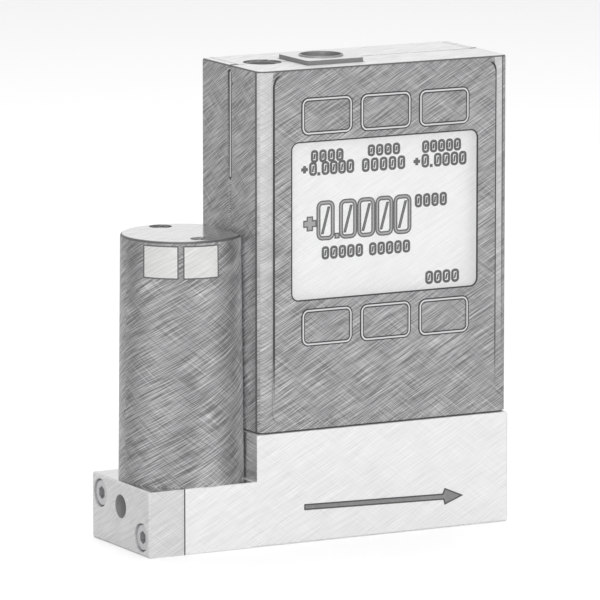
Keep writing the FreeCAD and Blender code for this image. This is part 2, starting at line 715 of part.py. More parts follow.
def make_valve():
    at_axis = {"x": "Place.valve_x"}
    finish_piece(turned("seat_turning", [
        ("Size.orifice_radius", "Place.seat_bottom"),
        ("Size.seat_radius", "Place.seat_bottom"),
        ("Size.seat_radius", "Size.chamber_floor + Size.seat_rim"),
        ("Size.nozzle_radius + Size.nozzle_slope", "Size.chamber_floor + Size.seat_rim"),
        ("Size.nozzle_radius", "Place.nozzle_top"),
        ("Size.orifice_radius", "Place.nozzle_top"),
    ], **at_axis), "valve_seat")
    finish_piece(turned("tube_turning", [
        ("Place.tube_bore", "Place.base_bottom"),
        ("Size.base_radius", "Place.base_bottom"),
        ("Size.base_radius", "Size.valve_block_height"),
        ("Size.tube_flange_radius", "Size.valve_block_height"),
        ("Size.tube_flange_radius", "Place.flange_top"),
        ("Place.tube_radius", "Place.flange_top"),
        ("Place.tube_radius", "Place.bracket_high"),
        ("Place.tube_bore", "Place.bracket_high"),
    ], **at_axis), "guide_tube")
    finish_piece(seal_ring("tube_seal_ring",
                           ("Place.valve_x", "0", "Place.base_bottom - Size.tube_seal_section / 2"),
                           "Size.base_radius - Size.tube_seal_section / 2", "Size.tube_seal_section"),
                 "guide_tube_seal")
    finish_piece(turned("plunger_turning", [
        ("0", "Place.disc_bottom + Size.valve_disc_thickness"),
        ("Size.valve_disc_radius", "Place.disc_bottom + Size.valve_disc_thickness"),
        ("Size.valve_disc_radius", "Place.plunger_bottom"),
        ("Size.plunger_radius - Size.plunger_chamfer", "Place.plunger_bottom"),
        ("Size.plunger_radius", "Place.plunger_bottom + Size.plunger_chamfer"),
        ("Size.plunger_radius", "Place.plunger_top"),
        ("Size.spring_bore_radius", "Place.plunger_top"),
        ("Size.spring_bore_radius", "Place.plunger_top - Size.spring_bore_depth"),
        ("0", "Place.plunger_top - Size.spring_bore_depth"),
    ], **at_axis), "valve_plunger")
    finish_piece(rod("disc", ("Place.valve_x", "0", "Place.disc_bottom"), "Size.valve_disc_radius",
                     "Size.valve_disc_thickness"), "plunger_seal")
    finish_piece(turned("pole_turning", [
        ("Size.spring_bore_radius", "Place.pole_bottom"),
        ("Size.plunger_radius", "Place.pole_bottom"),
        ("Size.plunger_radius", "Place.bracket_high"),
        ("Size.stud_radius", "Place.bracket_high"),
        ("Size.stud_radius", "Place.bracket_high + Size.stud_length"),
        ("0", "Place.bracket_high + Size.stud_length"),
        ("0", "Place.pole_bottom + Size.spring_seat_depth"),
        ("Size.spring_bore_radius", "Place.pole_bottom + Size.spring_seat_depth"),
    ], **at_axis), "pole_piece")
    make_spring()
    nut_seat = ("Place.valve_x", "0", "Place.bracket_high")
    nut_blank = hexagon("nut_blank", nut_seat, "Size.nut_radius", "Size.nut_height")
    nut_thread = rod("nut_thread", nut_seat, "Size.stud_radius + Size.fit_gap", "Size.nut_height")
    finish_piece(cut("nut_solid", nut_blank, [nut_thread]), "coil_nut")


def make_spring():
    """The closing spring between the plunger and the fixed pole."""
    low = value("Place.plunger_top - Size.spring_bore_depth")
    high = value("Place.pole_bottom + Size.spring_seat_depth")
    wire = value("Size.spring_wire")
    mean_radius = value("Size.spring_radius")
    turns = value("Size.spring_turns")
    rise = high - low - wire
    helix = Part.makeHelix(rise / turns, rise, mean_radius)
    start = Vector(mean_radius, 0, 0)
    section = Part.Wire([Part.Circle(start, Vector(0, 1, 0), wire / 2).toShape()])
    spring = document.addObject("Part::Feature", "spring_coil")
    spring.Shape = Part.Wire(helix.Edges).makePipeShell([section], True, True)
    foot = Vector(value("Place.valve_x"), 0, low + wire / 2)
    spring.Placement = FreeCAD.Placement(foot, FreeCAD.Rotation())
    finish_piece(spring, "plunger_spring")


def make_coil():
    low = "Place.bracket_low + Size.bracket_thickness + Size.coil_gap"
    high = "Place.plate_bottom - Size.coil_gap"
    bore = "Place.tube_radius + Size.coil_gap"
    hub = "Place.tube_radius + Size.coil_gap + Size.bobbin_wall"
    finish_piece(turned("bobbin_moulding", [
        (bore, low), ("Size.coil_radius", low), ("Size.coil_radius", f"{low} + Size.bobbin_flange"),
        (hub, f"{low} + Size.bobbin_flange"), (hub, f"{high} - Size.bobbin_flange"),
        ("Size.coil_radius", f"{high} - Size.bobbin_flange"), ("Size.coil_radius", high), (bore, high),
    ], x="Place.valve_x"), "coil_bobbin")
    wound = f"{hub} + Size.winding_depth"
    finish_piece(turned("winding_turning", [
        (hub, f"{low} + Size.bobbin_flange"), (wound, f"{low} + Size.bobbin_flange"),
        (wound, f"{high} - Size.bobbin_flange"), (hub, f"{high} - Size.bobbin_flange"),
    ], x="Place.valve_x"), "coil_winding")
    body = new_body("bracket_solid")
    sketch = new_sketch(body, "bracket_section", "YZ", "Place.valve_x - Size.bracket_width / 2")
    ear = "Place.cover_screw_y + Size.small_screw_radius + Size.bracket_thickness / 2"
    draw_outline(sketch, [
        ("-(Place.leg_outside)", "Place.bracket_low"), ("Place.leg_outside", "Place.bracket_low"),
        ("Place.leg_outside", "Place.plate_bottom"), (ear, "Place.plate_bottom"), (ear, "Place.bracket_high"),
        (f"-({ear})", "Place.bracket_high"), (f"-({ear})", "Place.plate_bottom"),
        ("-(Place.leg_outside)", "Place.plate_bottom"),
    ])
    draw_rectangle(sketch, "-(Place.leg_inside)", "Place.leg_inside",
                   "Place.bracket_low + Size.bracket_thickness", "Place.plate_bottom")
    pad(body, "bracket_frame", sketch, "Size.bracket_width")
    drill(body, "bracket_tube_holes", "XY", "Place.bracket_high", [("Place.valve_x", "0")],
          "Place.tube_radius + Size.fit_gap", "Size.bracket_height")
    drill(body, "bracket_threads", "XY", "Place.bracket_high",
          [("Place.valve_x", "-(Place.cover_screw_y)"), ("Place.valve_x", "Place.cover_screw_y")],
          "Place.small_tapped_radius", "Size.bracket_top")
    round_room = rod("bracket_room", ("Place.valve_x", "0", "Place.bracket_low"), "Place.plate_radius",
                     "Size.bracket_height")
    trimmed = document.addObject("Part::Common", "bracket_trimmed")
    trimmed.Base = body
    trimmed.Tool = round_room
    finish_piece(trimmed, "coil_bracket")


# Valve cover

def draw_cover_outline(sketch, radius, flat):
    """A circle about the valve axis with one side cut flat."""
    reach = (value(radius) ** 2 - value(flat) ** 2) ** 0.5
    circle = Part.Circle(Vector(0, 0, 0), Vector(0, 0, 1), value(radius))
    first = circle.parameter(Vector(value(flat), reach, 0))
    last = circle.parameter(Vector(value(flat), -reach, 0))
    arc = sketch.addGeometry(Part.ArcOfCircle(circle, first, last))
    ends = [Vector(value(flat), side * reach, 0) for side in (-1, 1)]
    chord = sketch.addGeometry(Part.LineSegment(*ends))
    sketch.addConstraint(Sketcher.Constraint("Coincident", arc, 3, -1, 1))
    sketch.addConstraint(Sketcher.Constraint("Coincident", arc, 2, chord, 1))
    sketch.addConstraint(Sketcher.Constraint("Coincident", chord, 2, arc, 1))
    sketch.addConstraint(Sketcher.Constraint("Vertical", chord))
    index = sketch.addConstraint(Sketcher.Constraint("Radius", arc, value(radius)))
    sketch.setExpression(f"Constraints[{index}]", radius)
    index = sketch.addConstraint(Sketcher.Constraint("DistanceX", -1, 1, chord, 1, value(flat)))
    sketch.setExpression(f"Constraints[{index}]", flat)


def make_valve_cover():
    body = new_body("cover_moulding")
    outside = new_sketch(body, "cover_outline", "XY", "Size.valve_block_height")
    draw_cover_outline(outside, "Place.cover_bottom_radius", "Place.cover_flat")
    shell = pad(body, "cover_outside", outside, "Place.cover_height")
    bind(shell, TaperAngle="-Size.cover_draft")
    document.recompute()
    top = value("Place.cover_top")
    dress_edges(body, "Fillet", "cover_edge", "Size.cover_edge_radius",
                lambda edge, middle: close_to(middle.z, top))
    inside = new_sketch(body, "cover_cavity", "XY", "Size.valve_block_height")
    draw_cover_outline(inside, "Place.cover_bottom_radius - Size.cover_wall",
                       "Place.cover_flat - Size.cover_wall")
    hollow = pocket(body, "cover_inside", inside, "Place.cover_height - Size.cover_wall", True)
    bind(hollow, TaperAngle="-Size.cover_draft")
    document.recompute()
    screws = [("0", "-(Place.cover_screw_y)"), ("0", "Place.cover_screw_y")]
    posts = new_sketch(body, "cover_posts", "XY", "Place.bracket_high")
    for u, v in screws:
        draw_circle(posts, u, v, "Place.post_radius")
    pad(body, "cover_post_pads", posts, "Place.cover_top - Size.cover_wall / 2 - Place.bracket_high")
    drill(body, "cover_screw_holes", "XY", "Place.cover_top", screws, "Place.small_clearance_radius",
          "Place.cover_top - Place.bracket_high")
    drill(body, "cover_screw_heads", "XY", "Place.cover_top", screws, "Place.small_counterbore_radius",
          "Size.small_counterbore_depth")
    drill(body, "cover_lead_hole", "YZ", "Place.cover_bottom_radius", [("Place.lead_y", "Size.lead_height")],
          "Size.lead_hole_radius", "Place.cover_bottom_radius - Place.cover_flat + 3 * Size.cover_wall")
    place(body, "Place.valve_x", "0", "0")
    finish_piece(body, "valve_cover")
    head_top = "Place.cover_top - Size.small_counterbore_depth + Size.small_head_height"
    reach = "Place.cover_top - Size.small_counterbore_depth - Place.plate_bottom"
    screws = [cap_screw(f"cover_screw_{number}", ("Place.valve_x", y, head_top), -1, reach,
                        "Size.small_head_radius", "Size.small_head_height", "Size.small_screw_radius", "Z")
              for number, y in enumerate(("-(Place.cover_screw_y)", "Place.cover_screw_y"), start=1)]
    finish_piece(group("cover_screws", screws), "valve_cover_screws")


def make_labels():
    """Two label patches wrapped round the front of the cover, just under its top edge."""
    high = "Place.cover_top - Size.label_drop"
    low = f"{high} - Size.label_height"
    slope = "tan(Size.cover_draft * 1 deg)"
    at_high = f"Place.cover_top_radius + Size.label_drop * {slope}"
    at_low = f"{at_high} + Size.label_height * {slope}"
    patches = []
    half_step = "(Size.label_angle + Size.label_space / Place.cover_top_radius * 180 / pi) / 2"
    for number, side in enumerate(("-", "+"), start=1):
        body = new_body(f"label_patch_{number}")
        sketch = new_sketch(body, f"label_profile_{number}", "XZ")
        draw_outline(sketch, [(at_low, low), (f"{at_low} + Size.label_thickness", low),
                              (f"{at_high} + Size.label_thickness", high), (at_high, high)])
        spin = body.newObject("PartDesign::Revolution", f"label_turn_{number}")
        spin.Profile = sketch
        spin.ReferenceAxis = (sketch, ["V_Axis"])
        spin.Midplane = True
        bind(spin, Angle="Size.label_angle")
        sketch.Visibility = False
        heading = value(f"Size.label_middle_angle {side} {half_step}")
        body.Placement = FreeCAD.Placement(Vector(), FreeCAD.Rotation(Vector(0, 0, 1), heading))
        bind(body, Placement__Base__x="Place.valve_x")
        patches.append(body)
    finish_piece(group("label_patches", patches), "valve_labels")


# Housing shells

COLUMN_X = ("Place.column_left", "Place.column_right")
BOSS_X = ("Place.boss_left", "Place.boss_right")
BOSS_Z = ("Place.key_row_low", "Place.key_row_high")


def make_front_shell():
    body = new_body("front_moulding")
    seam = "-Size.seam_gap / 2"
    outside = new_sketch(body, "front_outline", "XY", "Place.shell_base")
    draw_rectangle(outside, "Place.shell_left", "Place.shell_right", "Place.shell_front", seam)
    pad(body, "front_block", outside, "Size.housing_top - Place.shell_base")
    front = value("Place.shell_front")
    dress_edges(body, "Fillet", "front_corners", "Size.front_corner_radius",
                lambda edge, middle: close_to(middle.y, front) and runs_along(edge, "Z"))
    top, seam_y = value("Size.housing_top"), value(seam)
    dress_edges(body, "Fillet", "front_top_edges", "Size.top_edge_radius",
                lambda edge, middle: close_to(middle.z, top) and not close_to(middle.y, seam_y))
    dress_edges(body, "Chamfer", "front_seam_edges", "Size.seam_chamfer",
                lambda edge, middle: close_to(middle.y, seam_y) and runs_along(edge, "Z"))
    latch = new_sketch(body, "latch_notch", "YZ", "Place.shell_left")
    latch_z = "Size.housing_top - Size.latch_drop"
    draw_outline(latch, [(seam, f"{latch_z} - Size.latch_height / 2"),
                         (seam, f"{latch_z} + Size.latch_height / 2"),
                         (f"{seam} - Size.latch_width", latch_z)])
    pocket(body, "latch_notch_cut", latch, "Size.latch_depth", True)
    inside = new_sketch(body, "front_cavity", "XY", "Place.shell_base")
    draw_rectangle(inside, "Place.shell_left + Size.shell_wall", "Place.shell_right - Size.shell_wall",
                   "Place.wall_inside", "Size.seam_gap")
    pocket(body, "front_inside", inside, "Place.roof_bottom - Place.shell_base", True)
    roof = new_sketch(body, "roof_outline", "XY", "Place.roof_bottom")
    draw_rectangle(roof, "Place.shell_left + Place.flange_inside", "Place.shell_right - Place.flange_inside",
                   "-Size.seam_gap", "Place.shell_back")
    pad(body, "roof", roof, "Size.shell_wall")
    lips = new_sketch(body, "lip_outline", "XY", "Place.shell_base")
    inner = "Place.flange_inside + Size.lip_thickness"
    draw_rectangle(lips, "Place.shell_left + Size.shell_wall", f"Place.shell_left + {inner}",
                   "-Size.lip_overlap", seam)
    draw_rectangle(lips, f"Place.shell_right - ({inner})", "Place.shell_right - Size.shell_wall",
                   "-Size.lip_overlap", seam)
    pad(body, "lip_roots", lips, "Place.roof_bottom - Place.shell_base")
    tongues = new_sketch(body, "tongue_outline", "XY", "Place.shell_base")
    draw_rectangle(tongues, "Place.shell_left + Place.flange_inside", f"Place.shell_left + {inner}",
                   "-Size.lip_overlap", "Size.lip_overlap")
    draw_rectangle(tongues, f"Place.shell_right - ({inner})", "Place.shell_right - Place.flange_inside",
                   "-Size.lip_overlap", "Size.lip_overlap")
    pad(body, "lip_tongues", tongues, "Place.roof_bottom - Place.shell_base")
    columns = new_sketch(body, "front_columns", "XY", "Place.shell_base")
    for x in COLUMN_X:
        draw_circle(columns, x, "-(Place.column_y)", "Place.column_radius")
    pad(body, "front_column_pads", columns, "Size.column_height")
    drill(body, "front_column_threads", "XY", "Place.shell_base",
          [(x, "-(Place.column_y)") for x in COLUMN_X],
          "Place.tapped_radius", "Size.column_height - Size.column_wall", True)
    # On the XZ plane a level along the normal is a place towards the front
    bosses = new_sketch(body, "board_bosses", "XZ", "-(Place.board_front)")
    for x in BOSS_X:
        for z in BOSS_Z:
            draw_circle(bosses, x, z, "Size.boss_radius")
    pad(body, "board_boss_pads", bosses, "Size.display_depth + Size.shell_wall / 2")
    drill(body, "board_boss_threads", "XZ", "-(Place.board_front)", [(x, z) for x in BOSS_X for z in BOSS_Z],
          "Place.small_tapped_radius", "Size.display_depth", True)
    lugs = new_sketch(body, "lug_outline", "XY", "Place.lug_bottom")
    for x in ("Place.lug_left", "Place.lug_right"):
        draw_rectangle(lugs, f"{x} - Size.lug_width / 2", f"{x} + Size.lug_width / 2",
                       "Place.lug_back - Size.lug_depth", "Place.lug_back")
    pad(body, "lug_pads", lugs, "Size.lug_height + Size.shell_wall / 2")
    drill(body, "lug_threads", "XZ", "-(Place.lug_back)",
          [(x, "Place.lug_middle") for x in ("Place.lug_left", "Place.lug_right")],
          "Place.small_tapped_radius", "Size.lug_depth", True)
    opening = new_sketch(body, "lens_opening", "XZ", "-(Place.shell_front)")
    border = "Size.lens_border + Size.socket_gap"
    draw_rectangle(opening, f"Place.window_left - ({border})", f"Place.window_right + ({border})",
                   f"Place.window_low - ({border})", f"Place.window_high + ({border})")
    pocket(body, "lens_opening_cut", opening, "Size.shell_wall")
    drill(body, "key_holes", "XZ", "-(Place.shell_front)", [(x, z) for _, x, z in key_places()],
          "Size.key_cap_radius + Size.key_cap_gap", "Size.shell_wall")
    drill(body, "jack_hole", "XY", "Size.housing_top", [("Place.jack_x", "Place.jack_y")],
          "Size.jack_radius + Size.socket_gap", "Size.shell_wall")
    square = new_sketch(body, "connector_opening", "XY", "Size.housing_top")
    half = "(Size.connector_size / 2 + Size.socket_gap)"
    draw_rectangle(square, f"Place.connector_x - {half}", f"Place.connector_x + {half}",
                   f"Place.connector_y - {half}", f"Place.connector_y + {half}")
    pocket(body, "connector_cut", square, "Size.shell_wall")
    drill(body, "shell_lead_hole", "YZ", "Place.shell_left", [("Place.lead_y", "Size.lead_height")],
          "Size.lead_hole_radius", "Place.flange_inside + Size.lip_thickness", True)
    finish_piece(body, "front_shell")


def make_rear_cover():
    body = new_body("rear_moulding")
    seam = "Size.seam_gap / 2"
    wall = "Size.shell_wall"
    outline = new_sketch(body, "rear_outline", "XY", "Place.shell_base")
    draw_outline(outline, [
        ("Place.shell_left", seam), (f"Place.shell_left + {wall}", seam),
        (f"Place.shell_left + {wall}", f"Place.shell_back - {wall}"),
        (f"Place.shell_right - {wall}", f"Place.shell_back - {wall}"), (f"Place.shell_right - {wall}", seam),
        ("Place.shell_right", seam), ("Place.shell_right", "Place.shell_back"),
        ("Place.shell_left", "Place.shell_back"),
    ])
    pad(body, "rear_wall", outline, "Size.housing_top - Place.shell_base")
    left, right = value("Place.shell_left"), value("Place.shell_right")
    back, seam_y, top = value("Place.shell_back"), value(seam), value("Size.housing_top")
    corner_start = value("Place.shell_back - Size.rear_corner_radius")
    dress_edges(body, "Fillet", "rear_corners", "Size.rear_corner_radius",
                lambda edge, middle: close_to(middle.y, back) and runs_along(edge, "Z"))
    dress_edges(body, "Fillet", "rear_top_edges", "Size.top_edge_radius",
                lambda edge, middle: close_to(middle.z, top)
                and (close_to(middle.x, left) or close_to(middle.x, right) or middle.y > corner_start))
    dress_edges(body, "Chamfer", "rear_seam_edges", "Size.seam_chamfer",
                lambda edge, middle: close_to(middle.y, seam_y) and runs_along(edge, "Z")
                and (close_to(middle.x, left) or close_to(middle.x, right)))
    notch = new_sketch(body, "roof_notch", "XY", "Size.housing_top")
    draw_rectangle(notch, f"Place.shell_left + {wall}", f"Place.shell_right - {wall}",
                   f"Place.shell_back - 2 * {wall}", "Place.shell_back")
    pocket(body, "roof_notch_cut", notch, wall)
    columns = new_sketch(body, "rear_columns", "XY", "Place.shell_base")
    for x in COLUMN_X:
        draw_circle(columns, x, "Place.column_y", "Place.column_radius")
    pad(body, "rear_column_pads", columns, "Size.column_height")
    drill(body, "rear_column_threads", "XY", "Place.shell_base", [(x, "Place.column_y") for x in COLUMN_X],
          "Place.tapped_radius", "Size.column_height - Size.column_wall", True)
    screws = [(x, "Place.lug_middle") for x in ("Place.lug_left", "Place.lug_right")]
    drill(body, "rear_screw_holes", "XZ", "-(Place.shell_back)", screws, "Place.small_clearance_radius",
          wall, True)
    sinks = []
    for number, (x, z) in enumerate(screws, start=1):
        sinks.append(countersink(f"rear_sink_{number}", x, z, "Size.screw_gap"))
    finish_piece(cut("rear_cover_cut", body, sinks), "rear_cover")


def countersink(name, x, z, gap):
    """The cone of a flat head screw that opens at the back wall."""
    cone = document.addObject("Part::Cone", name)
    bind(cone, Radius1=f"Size.small_screw_radius + ({gap})", Radius2=f"Size.countersink_radius + ({gap})",
         Height="Size.countersink_depth")
    return place(cone, x, "Place.shell_back - Size.countersink_depth", z, "Y")


def make_rear_screws():
    screws = []
    length = "Size.shell_wall - Size.countersink_depth + Size.slip_gap + Size.lug_depth - Size.screw_gap"
    for number, x in enumerate(("Place.lug_left", "Place.lug_right"), start=1):
        head = countersink(f"rear_head_{number}", x, "Place.lug_middle", "0")
        start = f"Place.shell_back - Size.countersink_depth - ({length})"
        shank = rod(f"rear_shank_{number}", (x, start, "Place.lug_middle"), "Size.small_screw_radius",
                    length, "Y")
        depth = "Size.countersink_depth * Size.socket_depth_share"
        socket = hexagon(f"rear_socket_{number}", (x, f"Place.shell_back - {depth}", "Place.lug_middle"),
                         "Size.small_head_radius * Size.socket_share", depth, "Y")
        screws.append(cut(f"rear_screw_{number}", fuse(f"rear_blank_{number}", [head, shank]), [socket]))
    finish_piece(group("rear_screws", screws), "rear_cover_screws")


def make_housing_fittings():
    sheet = box("gasket_sheet",
                ("Place.shell_left + Size.seam_chamfer", "Place.shell_right - Size.seam_chamfer"),
                ("Place.shell_front + Size.seam_chamfer", "Place.shell_back - Size.seam_chamfer"),
                ("Size.body_height", "Place.shell_base"))
    holes = [rod("gasket_sensor_hole", ("Place.sensor_x", "0", "Size.body_height"),
                 "Size.sensor_radius + Size.screw_gap", "Size.gasket_thickness")]
    screws = []
    sink = "Size.counterbore_depth - Size.screw_head_height"
    length = ("Size.body_height - Size.counterbore_depth + Size.gasket_thickness + Size.column_height"
              " - Size.column_wall - Size.screw_gap")
    for x in COLUMN_X:
        for y in ("-(Place.column_y)", "Place.column_y"):
            number = len(screws) + 1
            holes.append(rod(f"gasket_hole_{number}", (x, y, "Size.body_height"), "Place.clearance_radius",
                             "Size.gasket_thickness"))
            screws.append(cap_screw(f"housing_screw_{number}", (x, y, sink), 1, length,
                                    "Size.screw_head_radius", "Size.screw_head_height",
                                    "Size.screw_radius", "Z"))
    rounded = round_upright("gasket_blank", sheet, "Size.front_corner_radius - Size.seam_chamfer", "Z")
    finish_piece(cut("gasket_cut", rounded, holes), "housing_gasket")
    finish_piece(group("housing_screw_set", screws), "housing_screws")


# Keypad film, lens and keys

def key_places():
    """The six keys as name, place along X and height."""
    columns = (("left", "-"), ("middle", "0 *"), ("right", "+"))
    return [(f"{row}_{name}", f"Place.shell_middle + ({sign} Size.key_pitch)".replace("(+ ", "("), height)
            for row, height in (("upper", "Place.key_row_high"), ("lower", "Place.key_row_low"))
            for name, sign in columns]


def make_film():
    behind = ("Place.film_front", "Place.shell_front")
    blank = box("film_blank", ("Place.film_left", "Place.film_right"), behind,
                ("Place.film_bottom", "Place.film_top"))
    sheet = round_upright("film_sheet", blank, "Size.film_corner_radius")
    opening = box("film_window_blank", ("Place.window_left", "Place.window_right"), behind,
                  ("Place.window_low", "Place.window_high"))
    window = round_upright("film_window", opening, "Size.window_corner_radius")
    rims = [cut("film_body", sheet, [window])]
    proud = ("Place.film_front - Size.key_rim_height", "Place.film_front")
    for name, x, z in key_places():
        outer = round_upright(f"rim_outer_{name}", box(
            f"rim_blank_{name}", (f"{x} - Size.key_width / 2", f"{x} + Size.key_width / 2"), proud,
            (f"{z} - Size.key_height / 2", f"{z} + Size.key_height / 2")), "Size.key_corner_radius")
        half_width = "(Size.key_width / 2 - Size.key_rim)"
        half_height = "(Size.key_height / 2 - Size.key_rim)"
        inner = round_upright(f"rim_inner_{name}", box(
            f"rim_space_{name}", (f"{x} - {half_width}", f"{x} + {half_width}"), proud,
            (f"{z} - {half_height}", f"{z} + {half_height}")), "Size.key_corner_radius - Size.key_rim")
        rims.append(cut(f"rim_{name}", outer, [inner]))
    finish_piece(fuse("film_with_rims", rims), "front_overlay")
    border = "Size.lens_border"
    lens = box("lens", (f"Place.window_left - {border}", f"Place.window_right + {border}"),
               ("Place.shell_front", "Place.shell_front + Size.lens_thickness"),
               (f"Place.window_low - {border}", f"Place.window_high + {border}"))
    finish_piece(lens, "display_window")


def make_keys():
    switch_front = "Place.board_front - Size.switch_height"
    bodies = []
    for name, x, z in key_places():
        half = "Size.switch_size / 2"
        case = box(f"switch_case_{name}", (f"{x} - {half}", f"{x} + {half}"),
                   (switch_front, "Place.board_front"), (f"{z} - {half}", f"{z} + {half}"))
        bore = rod(f"switch_bore_{name}", (x, switch_front, z), "Size.key_stem_radius + Size.fit_gap",
                   "Size.switch_bore_depth", "Y")
        bodies.append(cut(f"switch_{name}", case, [bore]))
        stem_end = f"{switch_front} + Size.switch_bore_depth - Size.key_travel - Size.plunger_end_gap"
        cap_back = "Place.wall_inside - Size.key_travel - Size.fit_gap"
        cap_front = "Place.shell_front + Size.fit_gap"
        # The turning axis lies along Y here, so its heights are places along Y
        key = turned(f"key_turning_{name}", [
            ("0", cap_front), ("Size.key_cap_radius", cap_front), ("Size.key_cap_radius", cap_back),
            ("Size.key_stem_radius", cap_back), ("Size.key_stem_radius", stem_end), ("0", stem_end),
        ], x=x, z=z, axis="Y")
        finish_piece(key, f"key_button_{name}")
    finish_piece(group("switch_set", bodies), "key_switches")


# Boards and display module

def make_display():
    reach_x = ("Place.window_left - Size.display_border", "Place.window_right + Size.display_border")
    reach_z = ("Place.window_low - Size.lens_border - Size.bezel_thickness",
               "Place.window_high + Size.lens_border + Size.bezel_thickness")
    t = "Size.bezel_thickness"
    can = box("bezel_blank", reach_x, ("Place.wall_inside", "Place.board_front"), reach_z)
    room_x = (f"{reach_x[0]} + {t}", f"{reach_x[1]} - {t}")
    room_z = (f"{reach_z[0]} + {t}", f"{reach_z[1]} - {t}")
    room = box("bezel_room", room_x, (f"Place.wall_inside + {t}", "Place.board_front"), room_z)
    view = box("bezel_view",
               ("Place.window_left - Size.lens_border", "Place.window_right + Size.lens_border"),
               ("Place.wall_inside", f"Place.wall_inside + {t}"),
               ("Place.window_low - Size.lens_border / 2", "Place.window_high + Size.lens_border / 2"))
    finish_piece(cut("bezel_can", can, [room, view]), "display_bezel")
    gap = "Size.socket_gap"
    inside_x = (f"{room_x[0]} + {gap}", f"{room_x[1]} - {gap}")
    inside_z = (f"{room_z[0]} + {gap}", f"{room_z[1]} - {gap}")
    glass_back = f"Place.wall_inside + {t} + Size.glass_thickness"
    finish_piece(box("glass", inside_x, (f"Place.wall_inside + {t}", glass_back), inside_z), "display_panel")
    guide = box("light_guide", inside_x, (glass_back, "Place.board_front"), inside_z)
    finish_piece(guide, "display_backlight")


STANDOFF_Z = ("Place.window_low", "Place.window_high - 2 * Size.standoff_radius")


def make_boards():
    width = ("Place.board_left", "Place.board_right")
    front_board = box("key_board_blank", width, ("Place.board_front", "Place.board_back"),
                      ("Place.key_board_bottom", "Place.key_board_top"))
    boss_holes = []
    screws = []
    for x in BOSS_X:
        for z in BOSS_Z:
            number = len(screws) + 1
            boss_holes.append(rod(f"board_hole_{number}", (x, "Place.board_front", z),
                                  "Place.small_clearance_radius", "Size.board_thickness", "Y"))
            screws.append(board_screw(f"boss_screw_{number}", x, "Place.board_back", z))
    finish_piece(cut("key_board_cut", front_board, boss_holes), "key_board")
    rear_board = box("main_board_blank", width, ("Place.main_front", "Place.main_back"),
                     ("Size.main_board_bottom", "Place.main_board_top"))
    holes = []
    posts = []
    for x in BOSS_X:
        for z in STANDOFF_Z:
            number = len(posts) + 1
            post = hexagon(f"post_{number}", (x, "Place.board_back", z), "Size.standoff_radius",
                           "Size.board_spacing", "Y")
            thread = rod(f"post_thread_{number}", (x, "Place.board_back + Size.board_spacing / 4", z),
                         "Place.small_tapped_radius", "Size.board_spacing * 3 / 4", "Y")
            posts.append(cut(f"post_cut_{number}", post, [thread]))
            holes.append(rod(f"main_hole_{number}", (x, "Place.main_front", z),
                             "Place.small_clearance_radius", "Size.board_thickness", "Y"))
            screws.append(board_screw(f"main_screw_{number}", x, "Place.main_back", z))
    finish_piece(cut("main_board_cut", rear_board, holes), "main_board")
    finish_piece(group("standoff_set", posts), "board_standoffs")
    finish_piece(group("board_screw_set", screws), "board_screws")


def board_screw(name, x, seat, z):
    """A pan head screw that enters a board from the back."""
    head = rod(name + "_head", (x, seat, z), "Size.board_head_radius", "Size.board_head_height", "Y")
    shank = rod(name + "_shank", (x, f"{seat} - Size.board_screw_length", z), "Size.small_screw_radius",
                "Size.board_screw_length", "Y")
    return fuse(name, [head, shank])


# Sockets on the top

def make_power_jack():
    top = "Size.housing_top - Size.jack_sink"
    floor = f"{top} - Size.jack_bore_depth"
    flange = "Size.jack_radius + Size.jack_flange"
    flange_low = "Place.roof_bottom - Size.jack_floor"
    finish_piece(turned("jack_moulding", [
        ("0", f"{floor} - Size.jack_floor"), ("Size.jack_radius", f"{floor} - Size.jack_floor"),
        ("Size.jack_radius", flange_low), (flange, flange_low), (flange, "Place.roof_bottom"),
        ("Size.jack_radius", "Place.roof_bottom"), ("Size.jack_radius", top),
        ("Size.jack_bore_radius", top), ("Size.jack_bore_radius", floor), ("0", floor),
    ], x="Place.jack_x", y="Place.jack_y"), "power_jack")
    finish_piece(rod("jack_contact", ("Place.jack_x", "Place.jack_y", floor), "Size.jack_pin_radius",
                     "Size.jack_bore_depth - Size.jack_flange"), "power_jack_pin")


